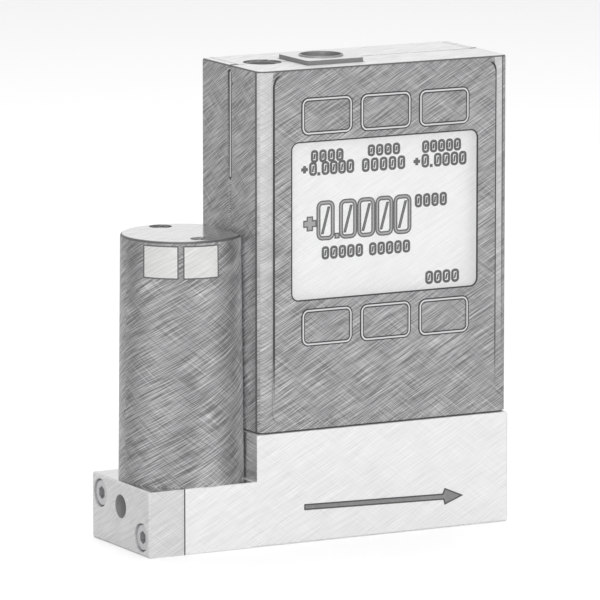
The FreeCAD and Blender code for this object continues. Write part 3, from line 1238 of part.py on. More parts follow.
def make_data_connector():
    half = "Size.connector_size / 2"
    bottom = "Size.housing_top - Size.connector_depth"
    bore_depth = "Size.shield_depth + Size.socket_gap"
    block = round_upright("connector_rounded", box(
        "connector_blank", (f"Place.connector_x - {half}", f"Place.connector_x + {half}"),
        (f"Place.connector_y - {half}", f"Place.connector_y + {half}"), (bottom, "Place.connector_top")),
        "Size.connector_corner_radius", "Z")
    floor = f"Place.connector_top - ({bore_depth})"
    bore = rod("connector_bore", ("Place.connector_x", "Place.connector_y", floor),
               "Size.shield_radius + Size.fit_gap", bore_depth)
    insert_height = f"{bore_depth} - Size.insert_depth"
    insert = rod("connector_insert", ("Place.connector_x", "Place.connector_y", f"{floor} - Size.socket_gap"),
                 "Size.insert_radius", f"{insert_height} + Size.socket_gap")
    holes = []
    contacts = []
    for number in range(8):
        angle = f"{number + 1} * Size.contact_step * 1 deg"
        x = f"Place.connector_x + Size.contact_ring_radius * sin({angle})"
        y = f"Place.connector_y + Size.contact_ring_radius * cos({angle})"
        start = f"Place.connector_top - Size.insert_depth - Size.contact_length"
        holes.append(rod(f"contact_hole_{number + 1}", (x, y, start), "Size.contact_radius + Size.fit_gap",
                         "Size.contact_length"))
        contacts.append(rod(f"contact_{number + 1}", (x, y, start), "Size.contact_radius",
                            "Size.contact_length - Size.insert_depth"))
    moulding = fuse("connector_moulding", [cut("connector_socket", block, [bore]), insert])
    finish_piece(cut("connector_body", moulding, holes), "data_connector")
    tube = rod("shield_blank", ("Place.connector_x", "Place.connector_y", floor), "Size.shield_radius",
               f"{bore_depth} + Size.shield_proud")
    core = rod("shield_core", ("Place.connector_x", "Place.connector_y", floor),
               "Size.shield_radius - Size.shield_thickness", f"{bore_depth} + Size.shield_proud")
    finish_piece(cut("shield_tube", tube, [core]), "data_connector_shield")
    finish_piece(group("contact_set", contacts), "data_connector_pins")


# Pressure sensor

def make_sensor():
    top = "Place.sensor_floor + Size.seal_section + Size.sensor_height"
    low = "Place.sensor_floor + Size.seal_section"
    shoulder = f"{top} - Size.sensor_chamfer"
    can = turned("sensor_can", [
        ("Size.sensor_tap_radius", low), ("Size.sensor_radius", low), ("Size.sensor_radius", shoulder),
        ("Size.sensor_radius - Size.sensor_chamfer", top), ("0", top),
        ("0", f"{low} + Size.sensor_height / 2"),
        ("Size.sensor_tap_radius", f"{low} + Size.sensor_height / 2"),
    ], x="Place.sensor_x")
    pin_y = "Place.main_front - Size.sensor_pin_radius"
    pins = [can]
    pin_count = 4
    for number in range(pin_count):
        x = f"Place.sensor_x + ({number} - {(pin_count - 1) / 2}) * Size.sensor_pin_pitch"
        pins.append(rod(f"sensor_pin_{number + 1}", (x, pin_y, shoulder), "Size.sensor_pin_radius",
                        f"Size.main_board_bottom + Size.sensor_pin_overlap - ({shoulder})"))
    finish_piece(fuse("sensor_with_pins", pins), "pressure_sensor")
    seal_centre = ("Place.sensor_x", "0", "Place.sensor_floor + Size.seal_section / 2")
    seal = seal_ring("sensor_seal_ring", seal_centre, "Size.sensor_radius - Size.seal_section",
                     "Size.seal_section")
    finish_piece(seal, "sensor_seal")


# Leads between the coil and the main board

def make_leads():
    plug_left = "Place.board_left"
    centre_y = "Place.lead_y"
    wound = "(Place.tube_radius + Size.coil_gap + Size.bobbin_wall + Size.winding_depth)"
    start_x = (f"Place.valve_x + sqrt({wound}^2 - (abs(Place.lead_y) - Size.lead_radius)^2)"
               " + Size.fit_gap")
    leads = []
    for number, sign in enumerate(("-", "+"), start=1):
        z = f"Size.lead_height {sign} Size.lead_pitch / 2"
        leads.append(rod(f"lead_{number}", (start_x, centre_y, z), "Size.lead_radius",
                         f"{plug_left} - ({start_x})", "X"))
    finish_piece(group("lead_pair", leads), "coil_leads")
    half = "Size.lead_plug_height / 2"
    plug = box("lead_plug", (plug_left, f"{plug_left} + Size.lead_plug_width"),
               ("Place.lead_y - Size.lead_pitch", "Place.main_front"),
               (f"Size.lead_height - {half}", f"Size.lead_height + {half}"))
    finish_piece(plug, "coil_lead_plug")


def check_document():
    """Stop if anything in the document failed or came out empty."""
    document.recompute()
    for item in document.Objects:
        if "Invalid" in item.State or "Error" in item.State:
            raise RuntimeError(f"{item.Name} is {item.State}")
    for name, item in finished.items():
        if item.Shape.isNull() or not item.Shape.isValid() or not item.Shape.Solids:
            raise RuntimeError(f"{name} has no valid solid")


make_flow_body()
make_valve_block()
make_end_block()
make_block_fittings()
make_valve()
make_coil()
make_valve_cover()
make_labels()
make_front_shell()
make_rear_cover()
make_rear_screws()
make_housing_fittings()
make_film()
make_keys()
make_display()
make_boards()
make_power_jack()
make_data_connector()
make_sensor()
make_leads()
check_document()

os.makedirs("parts", exist_ok=True)
for name, item in finished.items():
    item.Shape.exportStep(f"parts/{name}.step")
print(len(finished), "pieces")
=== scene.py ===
import bmesh
import bpy
import json
import math
from mathutils import Matrix, Vector


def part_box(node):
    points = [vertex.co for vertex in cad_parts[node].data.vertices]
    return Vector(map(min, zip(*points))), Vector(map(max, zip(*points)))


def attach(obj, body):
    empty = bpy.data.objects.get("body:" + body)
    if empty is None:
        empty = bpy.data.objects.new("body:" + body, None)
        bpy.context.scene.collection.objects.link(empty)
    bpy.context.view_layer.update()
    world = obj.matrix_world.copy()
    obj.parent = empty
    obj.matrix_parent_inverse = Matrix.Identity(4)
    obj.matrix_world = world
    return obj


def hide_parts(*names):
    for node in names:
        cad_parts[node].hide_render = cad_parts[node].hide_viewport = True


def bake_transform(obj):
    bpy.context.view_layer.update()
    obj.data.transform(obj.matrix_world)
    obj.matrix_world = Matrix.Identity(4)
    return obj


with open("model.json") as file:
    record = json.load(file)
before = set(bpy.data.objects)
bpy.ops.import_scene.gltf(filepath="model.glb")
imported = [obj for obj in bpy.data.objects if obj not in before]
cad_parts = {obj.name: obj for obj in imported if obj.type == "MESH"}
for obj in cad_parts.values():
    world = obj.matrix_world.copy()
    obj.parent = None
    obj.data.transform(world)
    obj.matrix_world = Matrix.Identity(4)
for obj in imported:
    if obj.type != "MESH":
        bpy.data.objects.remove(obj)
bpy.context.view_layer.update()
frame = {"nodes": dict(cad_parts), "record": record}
nodes = frame["nodes"]

MM = 0.001
HOUSING_BODY = "controller"

film_low, film_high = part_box("front_overlay")
shell_low, shell_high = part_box("front_shell")
lens_low, lens_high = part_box("display_window")
tube_low, tube_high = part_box("guide_tube")
labels_low, labels_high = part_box("valve_labels")
end_low, end_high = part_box("inlet_end_block")
flow_low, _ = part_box("flow_body")
panel_low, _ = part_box("display_panel")
_, cover_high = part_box("valve_cover")
cover_axis_x = (tube_low[0] + tube_high[0]) / 2


# Shader node groups

SOCKET_KINDS = {float: "NodeSocketFloat", tuple: "NodeSocketColor", Vector: "NodeSocketVector"}
GREY = (0.5, 0.5, 0.5, 1.0)
NO_PLACE = Vector((0, 0, 0))
COVER_RADIUS = 14 * MM
# Slant in degrees, stretch along the stroke and share of each layer of strokes
STROKE_LAYERS = ((-27.0, 0.02, 1.0), (-31.0, 0.035, 0.8), (38.0, 0.02, 0.5))
DARKEST_STROKE = 0.5
STROKE_SWING, SOFT_SWING = 4.0, 1.1
# Broad patches of shade: noise scale, detail and share
STROKE_PATCHES = (110.0, 2.0, 0.14)
SPECKLE_PATCHES = (60.0, 3.0)
SPECKLE_ROUGHNESS = (0.2, 0.4)
# Z of the normal: over this a surface counts as level, and where a top and its rounded edge begin
LEVEL_NORMAL = 0.7
TOP_NORMALS, EDGE_NORMALS = (0.88, 0.97), (0.20, 0.35)


def new_group(name, inputs, outputs):
    """An empty node group with float, colour or vector sockets."""
    group = bpy.data.node_groups.new(name, "ShaderNodeTree")
    for direction, sockets in (("INPUT", inputs), ("OUTPUT", outputs)):
        for label, value in sockets.items():
            kind = SOCKET_KINDS[type(value)]
            socket = group.interface.new_socket(label, in_out=direction, socket_type=kind)
            if direction == "INPUT":
                socket.default_value = value
    start = group.nodes.new("NodeGroupInput") if inputs else None
    return group, start, group.nodes.new("NodeGroupOutput")


def math_node(tree, operation, *values):
    """A math node whose inputs are sockets or numbers."""
    node = tree.nodes.new("ShaderNodeMath")
    node.operation = operation
    for socket, value in zip(node.inputs, values):
        if isinstance(value, bpy.types.NodeSocket):
            tree.links.new(value, socket)
        else:
            socket.default_value = value
    return node.outputs["Value"]


def product(tree, first, *others):
    """The product of several sockets or numbers."""
    for value in others:
        first = math_node(tree, "MULTIPLY", first, value)
    return first


def between(tree, value, low, high):
    """1 where a value lies between two others."""
    return product(tree, math_node(tree, "GREATER_THAN", value, low),
                   math_node(tree, "LESS_THAN", value, high))


def split(tree, vector):
    node = tree.nodes.new("ShaderNodeSeparateXYZ")
    tree.links.new(vector, node.inputs[0])
    return node.outputs


def join(tree, *values):
    node = tree.nodes.new("ShaderNodeCombineXYZ")
    for socket, value in zip(node.inputs, values):
        tree.links.new(value, socket)
    return node.outputs[0]


def place_and_normal(tree):
    """The point's own coordinates and the surface normal, each split in three."""
    place = tree.nodes.new("ShaderNodeTexCoord")
    return split(tree, place.outputs["Object"]), split(tree, place.outputs["Normal"])


def noise_value(tree, vector, scale, detail):
    """Noise from 0 to 1 over a vector."""
    node = tree.nodes.new("ShaderNodeTexNoise")
    node.inputs["Detail"].default_value = detail
    tree.links.new(vector, node.inputs["Vector"])
    if isinstance(scale, bpy.types.NodeSocket):
        tree.links.new(scale, node.inputs["Scale"])
    else:
        node.inputs["Scale"].default_value = scale
    return node.outputs["Fac"]


def ramp(tree, value, start, end):
    """0 at start and 1 at end, straight between them; start may be the larger."""
    node = tree.nodes.new("ShaderNodeMapRange")
    tree.links.new(value, node.inputs["Value"])
    node.inputs["From Min"].default_value = start
    node.inputs["From Max"].default_value = end
    return node.outputs["Result"]


def scaled_colour(tree, colour, factor):
    node = tree.nodes.new("ShaderNodeVectorMath")
    node.operation = "SCALE"
    tree.links.new(colour, node.inputs[0])
    tree.links.new(factor, node.inputs["Scale"])
    return node.outputs["Vector"]


def wall_vector(tree, around, place, normal_z):
    """Distance along a wall, and height; X and Y instead on a level top."""
    level = math_node(tree, "GREATER_THAN", math_node(tree, "ABSOLUTE", normal_z), LEVEL_NORMAL)
    upright = math_node(tree, "SUBTRACT", 1.0, level)
    x, y, z = place
    u = math_node(tree, "MULTIPLY_ADD", x, level, product(tree, around, upright))
    v = math_node(tree, "MULTIPLY_ADD", y, level, product(tree, z, upright))
    return join(tree, u, v)


def wall_plane_group():
    """Distance to the right, seen from outside, and height on any flat wall."""
    group, _, end = new_group("wall_plane", {}, {"Vector": NO_PLACE})
    place, (normal_x, normal_y, normal_z) = place_and_normal(group)
    side_on = math_node(group, "GREATER_THAN", math_node(group, "ABSOLUTE", normal_x),
                        math_node(group, "ABSOLUTE", normal_y))
    front_on = math_node(group, "SUBTRACT", 1.0, side_on)
    along_side = product(group, place[1], math_node(group, "SIGN", normal_x), side_on)
    along_front = product(group, place[0], math_node(group, "SIGN", normal_y), front_on)
    across = math_node(group, "SUBTRACT", along_side, along_front)
    group.links.new(wall_vector(group, across, place, normal_z), end.inputs["Vector"])
    return group


def round_wall_group():
    """Distance round an upright axis, and height, in metres."""
    group, start, end = new_group("round_wall", {"Axis X": 0.0, "Radius": COVER_RADIUS}, {"Vector": NO_PLACE})
    place, (_, _, normal_z) = place_and_normal(group)
    from_axis = math_node(group, "SUBTRACT", place[0], start.outputs["Axis X"])
    angle = math_node(group, "ARCTAN2", place[1], from_axis)
    around = product(group, angle, start.outputs["Radius"])
    group.links.new(wall_vector(group, around, place, normal_z), end.inputs["Vector"])
    return group


def stroke_group():
    """Fine straight strokes, most of them rising to the right, as on a surface rubbed by hand."""
    group, start, end = new_group(
        "rubbed_strokes", {"Vector": NO_PLACE, "Colour": GREY, "Contrast": 0.1, "Size": 5000.0},
        {"Colour": GREY, "Height": 0.0, "Soft Shade": 1.0})
    layers = []
    for slant, stretch, share in STROKE_LAYERS:
        turn = group.nodes.new("ShaderNodeMapping")
        turn.inputs["Rotation"].default_value = (0, 0, math.radians(slant))
        squeeze = group.nodes.new("ShaderNodeMapping")
        squeeze.inputs["Scale"].default_value = (stretch, 1.0, 1.0)
        group.links.new(start.outputs["Vector"], turn.inputs["Vector"])
        group.links.new(turn.outputs["Vector"], squeeze.inputs["Vector"])
        strokes = noise_value(group, squeeze.outputs["Vector"], start.outputs["Size"], 1.0)
        layers.append(product(group, math_node(group, "SUBTRACT", strokes, 0.5), share))
    scale, detail, share = STROKE_PATCHES
    patches = math_node(group, "SUBTRACT", noise_value(group, start.outputs["Vector"], scale, detail), 0.5)
    fine = math_node(group, "ADD", math_node(group, "ADD", layers[0], layers[1]), layers[2])
    swing = product(group, math_node(group, "MULTIPLY_ADD", patches, share, fine), start.outputs["Contrast"])
    factor = math_node(group, "MULTIPLY_ADD", swing, STROKE_SWING, 1.0)
    factor = math_node(group, "MAXIMUM", factor, DARKEST_STROKE)
    group.links.new(scaled_colour(group, start.outputs["Colour"], factor), end.inputs["Colour"])
    group.links.new(fine, end.inputs["Height"])
    group.links.new(math_node(group, "MULTIPLY_ADD", swing, SOFT_SWING, 1.0), end.inputs["Soft Shade"])
    return group


def speckle_group():
    """Small round bumps and faint patches of shade, as on moulded or coated parts."""
    group, start, end = new_group("fine_speckle", {"Colour": GREY, "Contrast": 0.1, "Size": 1500.0},
                                  {"Colour": GREY, "Height": 0.0, "Roughness": 0.5})
    place = group.nodes.new("ShaderNodeTexCoord")
    fine = noise_value(group, place.outputs["Object"], start.outputs["Size"], 2.0)
    broad = noise_value(group, place.outputs["Object"], *SPECKLE_PATCHES)
    both = math_node(group, "SUBTRACT", math_node(group, "ADD", fine, broad), 1.0)
    factor = math_node(group, "MULTIPLY_ADD", both, start.outputs["Contrast"], 1.0)
    group.links.new(scaled_colour(group, start.outputs["Colour"], factor), end.inputs["Colour"])
    group.links.new(fine, end.inputs["Height"])
    group.links.new(math_node(group, "MULTIPLY_ADD", broad, *SPECKLE_ROUGHNESS), end.inputs["Roughness"])
    return group


def outline_group():
    """A rounded rectangle in two coordinates: a ring along its edge, and a line on both sides of the ring."""
    sizes = {"Middle U": 0.0, "Middle V": 0.0, "Half Width": 0.01, "Half Height": 0.01, "Radius": 0.001,
             "Ring": 0.0, "Line": 0.0002}
    group, start, end = new_group("edge_outline", {"Vector": NO_PLACE, **sizes}, {"Ring": 0.0, "Line": 0.0})
    u, v, _ = split(group, start.outputs["Vector"])
    radius = start.outputs["Radius"]
    beyond = []
    for place, middle, half in ((u, "Middle U", "Half Width"), (v, "Middle V", "Half Height")):
        away = math_node(group, "ABSOLUTE", math_node(group, "SUBTRACT", place, start.outputs[middle]))
        straight = math_node(group, "SUBTRACT", start.outputs[half], radius)
        beyond.append(math_node(group, "SUBTRACT", away, straight))
    outside = [math_node(group, "MAXIMUM", value, 0.0) for value in beyond]
    squares = [product(group, value, value) for value in outside]
    corner = math_node(group, "SQRT", math_node(group, "ADD", *squares))
    inside = math_node(group, "MINIMUM", math_node(group, "MAXIMUM", *beyond), 0.0)
    away = math_node(group, "SUBTRACT", math_node(group, "ADD", corner, inside), radius)
    distance = math_node(group, "ABSOLUTE", away)
    on_ring = math_node(group, "LESS_THAN", distance, start.outputs["Ring"])
    reach = math_node(group, "ADD", start.outputs["Ring"], start.outputs["Line"])
    near = math_node(group, "LESS_THAN", distance, reach)
    group.links.new(on_ring, end.inputs["Ring"])
    group.links.new(math_node(group, "SUBTRACT", near, on_ring), end.inputs["Line"])
    return group


def top_face_group():
    """Where a surface at or above a height faces up, and the rounded edge beside it."""
    group, start, end = new_group("top_face", {"Height": 0.0}, {"Mask": 0.0, "Edge": 0.0})
    (_, _, z), (_, _, normal_z) = place_and_normal(group)
    high = math_node(group, "GREATER_THAN", z, start.outputs["Height"])
    level = product(group, high, ramp(group, normal_z, *TOP_NORMALS))
    rising = product(group, high, ramp(group, normal_z, *EDGE_NORMALS))
    group.links.new(level, end.inputs["Mask"])
    group.links.new(math_node(group, "SUBTRACT", rising, level), end.inputs["Edge"])
    return group


wall_plane = wall_plane_group()
round_wall = round_wall_group()
rubbed_strokes = stroke_group()
fine_speckle = speckle_group()
edge_outline = outline_group()
top_face = top_face_group()


# Materials

def new_material(name, roughness, metallic=0.0, **sockets):
    """A material with one Principled shader, and its constant values."""
    made = bpy.data.materials.new(name)
    made.use_nodes = True
    shader = made.node_tree.nodes["Principled BSDF"]
    for label, value in {"Roughness": roughness, "Metallic": metallic, **sockets}.items():
        shader.inputs[label.replace("_", " ")].default_value = value
    return made, shader


def place_group(tree, group, vector=None, **values):
    """Place a shader group with its own values."""
    node = tree.nodes.new("ShaderNodeGroup")
    node.node_tree = group
    for label, value in values.items():
        node.inputs[label.replace("_", " ")].default_value = value
    if vector:
        tree.links.new(vector, node.inputs["Vector"])
    return node.outputs


def mixed(tree, mask, colour, grey, shade=None):
    """A colour, turned into a grey where a mask is 1; a shade tones the grey."""
    node = tree.nodes.new("ShaderNodeMix")
    node.data_type = "RGBA"
    factor, first, second = (next(socket for socket in node.inputs if socket.identifier == label)
                             for label in ("Factor_Float", "A_Color", "B_Color"))
    tree.links.new(mask, factor)
    tree.links.new(colour, first)
    second.default_value = (*grey, 1.0)
    if shade:
        toned = tree.nodes.new("ShaderNodeVectorMath")
        toned.operation = "SCALE"
        toned.inputs[0].default_value = grey
        tree.links.new(shade, toned.inputs["Scale"])
        tree.links.new(toned.outputs["Vector"], second)
    return next(socket for socket in node.outputs if socket.identifier == "Result_Color")


BUMP_DEPTH = 0.02 * MM
POLISHED_ROUGHNESS = 0.14


def add_bump(tree, shader, height, strength):
    bump = tree.nodes.new("ShaderNodeBump")
    bump.inputs["Distance"].default_value = BUMP_DEPTH
    bump.inputs["Strength"].default_value = strength
    tree.links.new(height, bump.inputs["Height"])
    tree.links.new(bump.outputs["Normal"], shader.inputs["Normal"])


def rubbed(name, grey, roughness, metallic, contrast, marks=None, round_about=None, bump=0.25, polished=None,
           **sockets):
    """A satin finish with fine slanting strokes; marks and polished add what belongs to one piece."""
    made, shader = new_material(name, roughness, metallic, **sockets)
    tree = made.node_tree
    if polished:
        mask = polished(tree)
        for label, plain, bright in (("Roughness", roughness, POLISHED_ROUGHNESS),
                                     ("Metallic", metallic, 1.0)):
            toned = math_node(tree, "MULTIPLY_ADD", mask, bright - plain, plain)
            tree.links.new(toned, shader.inputs[label])
    if round_about is None:
        vector = place_group(tree, wall_plane)["Vector"]
    else:
        vector = place_group(tree, round_wall, Axis_X=round_about)["Vector"]
    strokes = place_group(tree, rubbed_strokes, vector, Colour=(*grey, 1.0), Contrast=contrast)
    colour = strokes["Colour"]
    if marks:
        colour = marks(tree, colour, vector, strokes["Soft Shade"])
    tree.links.new(colour, shader.inputs["Base Color"])
    add_bump(tree, shader, strokes["Height"], bump)
    return made


def speckled(name, grey, metallic=0.0, contrast=0.1, size=1500.0, bump=0.3, marks=None, **sockets):
    """A moulded, coated or plated finish with a fine grain."""
    made, shader = new_material(name, 0.5, metallic, **sockets)
    tree = made.node_tree
    grain = place_group(tree, fine_speckle, Colour=(*grey, 1.0), Contrast=contrast, Size=size)
    colour = grain["Colour"]
    if marks:
        colour = marks(tree, colour)
    tree.links.new(colour, shader.inputs["Base Color"])
    tree.links.new(grain["Roughness"], shader.inputs["Roughness"])
    add_bump(tree, shader, grain["Height"], bump)
    return made


# Greys for the painted highlight on the front corners and the film's left edge (also the seam's pale core),
# and for tops painted pale as a highlight
LIGHT_EDGE = (0.53, 0.53, 0.53)
TOP_PAINTED_HIGHLIGHT = (0.70, 0.70, 0.70)
COVER_TOP_PAINTED_HIGHLIGHT = (0.62, 0.62, 0.62)
KEY_RING = (0.62, 0.62, 0.62)
# Painted shade inside the inlet port
PORT_PAINTED_SHADE = (0.40, 0.40, 0.40)
DARK_LINE = (0.03, 0.03, 0.03)
SOFT_LINE = (0.10, 0.10, 0.10)
FINE_LINE = 0.3 * MM
# How deep a side or a top reaches from its piece's outermost plane
SIDE_DEPTH, TOP_DEPTH = 0.4 * MM, 1 * MM

# Painted highlight on the front corners, fading downwards: how far in from the front, the right one's end,
# fading heights, width of the dark line of painted shade beside the left one
CORNER_DEPTH = 1.2 * MM
RIGHT_CORNER_END = 43.2 * MM
LEFT_FADE = (0.027, 0.078)
RIGHT_FADE = (0.036, 0.070)
CORNER_LINE = 0.55 * MM
# The side seam's upper end: height, half length, half width of its core and width of its lines
SEAM_MIDDLE, SEAM_HALF = 92.2 * MM, 11.4 * MM
SEAM_CORE, SEAM_LINE = 0.42 * MM, 0.5 * MM
# Painted light where the cover stands close to the housing, against the shade there: distances from the
# middle plane, and angles on the cover
CLOSE_WALL = (11.7 * MM, 7.5 * MM)
CLOSE_ANGLES = (61, 28)
WALL_PAINTED_LIGHT, WALL_PAINTED_LIGHT_LEAST, WALL_FADE = 0.9, 0.12, 4 * MM
# Soft bands round the cover: how many, the angle of one and the depth of their shade
COVER_BANDS, BAND_ANGLE, BAND_SHADE = 7, 118.1, -0.17
# The labels' middles and half width, as angles on the cover, and their corner radius
LABEL_ANGLES, LABEL_HALF_ANGLE, LABEL_CORNER = (-136.9, -97.7), 17.5, 0.3 * MM
# Painted highlight on the film's left edge; its border line: distance from that edge, corner radius, width,
# fading heights
FILM_EDGE = 0.2 * MM
BORDER_IN, BORDER_CORNER, BORDER_LINE = 0.35 * MM, 3.2 * MM, 0.26 * MM
BORDER_FADE_LOW, BORDER_FADE_HIGH = (0.030, 0.042), (0.4 * MM, 0.9 * MM)
FILM_UPPER_END, FILM_UPPER_SHADE = (0.084, 0.100), -0.05
WINDOW_IN, WINDOW_CORNER = 1.5 * MM, 1.6 * MM
# The painted outline of a key on its raised rim
KEY_HALF = (5.95 * MM, 3.75 * MM)
KEY_SHIFT, KEY_CORNER = 0.14 * MM, 1.3 * MM
KEY_CORE, KEY_LINE = 0.18 * MM, 0.28 * MM
# The inlet port, painted darker inside as shade: its height above the floor, thread radius and depth where
# the thread begins
PORT_HEIGHT, PORT_RADIUS, PORT_START = 9.3 * MM, 2.7 * MM, 0.1 * MM
FOOT_HEIGHT = 0.3 * MM
# The flow body's left step: greatest X of its normal, depth from its left end and share of polish
STEP_NORMAL, STEP_DEPTH, STEP_POLISH = -0.5, 2 * MM, 0.8


def outline_of(tree, vector, middle, half, radius, ring, line):
    return place_group(tree, edge_outline, vector, Middle_U=middle[0], Middle_V=middle[1], Half_Width=half[0],
                       Half_Height=half[1], Radius=radius, Ring=ring, Line=line)


def middle_and_half(low, high, first, second):
    """Middle and half size of a box along two of its axes."""
    return ([(low[axis] + high[axis]) / 2 for axis in (first, second)],
            [(high[axis] - low[axis]) / 2 for axis in (first, second)])


def round_cover(degrees):
    """Distance round the cover's wall for an angle."""
    return math.radians(degrees) * COVER_RADIUS


def paint_top_highlight(tree, colour, shade, height, grey):
    """A top painted pale as a highlight, with a dark line of painted shade along its rounded edge."""
    top = place_group(tree, top_face, Height=height)
    return mixed(tree, top["Mask"], mixed(tree, top["Edge"], colour, SOFT_LINE), grey, shade)


def housing_marks(tree, colour, vector, shade):
    """Painted highlight on the front corners by the film, the side seam, painted light on the wall by the
    cover, a pale painted top.
    """
    (x, y, z), _ = place_and_normal(tree)
    # Painted highlight on the front corners, fading downwards, with dark lines of painted shade along its
    # edges
    front_end = shell_low[1] + CORNER_DEPTH
    front = math_node(tree, "LESS_THAN", y, front_end)
    left = math_node(tree, "LESS_THAN", x, film_low[0] + FINE_LINE)
    right = between(tree, x, film_high[0] - FINE_LINE, RIGHT_CORNER_END)
    fading = ramp(tree, z, *RIGHT_FADE)
    corners = math_node(tree, "ADD", product(tree, left, ramp(tree, z, *LEFT_FADE)),
                        product(tree, right, fading))
    colour = mixed(tree, product(tree, corners, front), colour, LIGHT_EDGE, shade)
    left_line = product(tree, left, between(tree, y, front_end, front_end + CORNER_LINE))
    beyond_corner = between(tree, x, RIGHT_CORNER_END, RIGHT_CORNER_END + FINE_LINE)
    right_line = product(tree, front, beyond_corner, fading)
    colour = mixed(tree, math_node(tree, "ADD", left_line, right_line), colour, SOFT_LINE)

    from_side = math_node(tree, "ABSOLUTE", math_node(tree, "SUBTRACT", x, shell_low[0]))
    on_side = math_node(tree, "LESS_THAN", from_side, SIDE_DEPTH)
    seam = outline_of(tree, vector, (0, SEAM_MIDDLE), (0, SEAM_HALF), 0, SEAM_CORE, SEAM_LINE)
    for label, grey in (("Ring", LIGHT_EDGE), ("Line", DARK_LINE)):
        colour = mixed(tree, product(tree, seam[label], on_side), colour, grey)

    # Painted light on the side wall below the cover's top, strongest in the middle, against the shade there
    close = product(tree, ramp(tree, math_node(tree, "ABSOLUTE", y), *CLOSE_WALL),
                    ramp(tree, z, cover_high[2], cover_high[2] - WALL_FADE))
    wall_painted_light = product(tree, math_node(tree, "MULTIPLY_ADD", close, WALL_PAINTED_LIGHT, WALL_PAINTED_LIGHT_LEAST), on_side,
                   math_node(tree, "LESS_THAN", z, cover_high[2]))
    colour = scaled_colour(tree, colour, math_node(tree, "ADD", wall_painted_light, 1.0))
    return paint_top_highlight(tree, colour, shade, shell_high[2] - TOP_DEPTH, TOP_PAINTED_HIGHLIGHT)


def cover_marks(tree, colour, vector, shade):
    """Soft upright bands of shade round the cover, painted light on its sides by the housing, and a top
    painted pale as a highlight.
    """
    u, _, _ = split(tree, vector)
    turn = math_node(tree, "MULTIPLY_ADD", u, COVER_BANDS / COVER_RADIUS,
                     math.radians(COVER_BANDS * BAND_ANGLE))
    bands = math_node(tree, "MULTIPLY_ADD", math_node(tree, "COSINE", turn), BAND_SHADE, 1.0)
    # Painted light on the cover's sides that face the housing, against the shade there
    close = ramp(tree, math_node(tree, "ABSOLUTE", u), *(round_cover(angle) for angle in CLOSE_ANGLES))
    colour = scaled_colour(tree, colour, math_node(tree, "MULTIPLY_ADD", close, 1.0, bands))
    return paint_top_highlight(tree, colour, shade, cover_high[2] - TOP_DEPTH, COVER_TOP_PAINTED_HIGHLIGHT)


def label_marks(tree, colour, vector, shade):
    """A thin dark edge round both labels."""
    (_, middle), (_, half) = middle_and_half(labels_low, labels_high, 0, 2)
    lines = [outline_of(tree, vector, (round_cover(angle), middle), (round_cover(LABEL_HALF_ANGLE), half),
                        LABEL_CORNER, 0.0, FINE_LINE)["Line"] for angle in LABEL_ANGLES]
    return mixed(tree, math_node(tree, "ADD", *lines), colour, SOFT_LINE)


def film_marks(tree, colour, vector, shade):
    """Printed lines at the film's edge and window, the pale raised ring round each key, a darker upper end
    and a painted highlight on its left edge.
    """
    (x, _, z), _ = place_and_normal(tree)
    front = join(tree, x, z)
    upper_end = math_node(tree, "MULTIPLY_ADD", ramp(tree, z, *FILM_UPPER_END), FILM_UPPER_SHADE, 1.0)
    colour = scaled_colour(tree, colour, upper_end)
    # Painted highlight on the left edge, fading downwards like the corner beside it
    outside = math_node(tree, "LESS_THAN", x, film_low[0] + FILM_EDGE)
    colour = mixed(tree, product(tree, outside, ramp(tree, z, *LEFT_FADE)), colour, LIGHT_EDGE, shade)

    line_low = (film_low[0] + BORDER_IN, film_low[1], film_low[2])
    middle, half = middle_and_half(line_low, film_high, 0, 2)
    border = outline_of(tree, front, middle, half, BORDER_CORNER, 0.0, BORDER_LINE)
    seen_low = ramp(tree, z, *BORDER_FADE_LOW)
    seen_high = ramp(tree, z, *(film_high[2] - drop for drop in BORDER_FADE_HIGH))
    middle, half = middle_and_half(lens_low, lens_high, 0, 2)
    half = [size - WINDOW_IN for size in half]
    lines = [product(tree, border["Line"], seen_low, seen_high),
             outline_of(tree, front, middle, half, WINDOW_CORNER, 0.0, FINE_LINE)["Line"]]
    rings = []
    for row in ("upper", "lower"):
        for column in ("left", "middle", "right"):
            (across, up), _ = middle_and_half(*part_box(f"key_button_{row}_{column}"), 0, 2)
            made = outline_of(tree, front, (across + KEY_SHIFT, up), KEY_HALF, KEY_CORNER, KEY_CORE, KEY_LINE)
            rings.append(made["Ring"])
            lines.append(made["Line"])
    for masks, grey in ((rings, KEY_RING), (lines, DARK_LINE)):
        both = masks[0]
        for mask in masks[1:]:
            both = math_node(tree, "MAXIMUM", both, mask)
        colour = mixed(tree, both, colour, grey)
    return colour


def end_block_marks(tree, colour, vector, shade):
    """Dark joint beside the next block, and painted shade inside the inlet port."""
    (x, y, z), _ = place_and_normal(tree)
    joint = between(tree, x, end_high[0] - FINE_LINE, end_high[0] + FINE_LINE)
    colour = mixed(tree, joint, colour, DARK_LINE)
    # Painted shade inside the inlet port
    above = math_node(tree, "SUBTRACT", z, PORT_HEIGHT)
    squares = math_node(tree, "ADD", product(tree, y, y), product(tree, above, above))
    in_port = product(tree, math_node(tree, "LESS_THAN", math_node(tree, "SQRT", squares), PORT_RADIUS),
                      math_node(tree, "GREATER_THAN", x, end_low[0] + PORT_START))
    return mixed(tree, in_port, colour, PORT_PAINTED_SHADE)


def connector_marks(tree, colour):
    """Top of the socket's square foot, painted pale as a highlight."""
    top = place_group(tree, top_face, Height=shell_high[2] + FOOT_HEIGHT)
    return mixed(tree, top["Mask"], colour, TOP_PAINTED_HIGHLIGHT)


def block_top_polish(tree):
    """Machined top of the low blocks, bright enough to mirror the cover."""
    return place_group(tree, top_face, Height=end_high[2] - TOP_DEPTH)["Mask"]


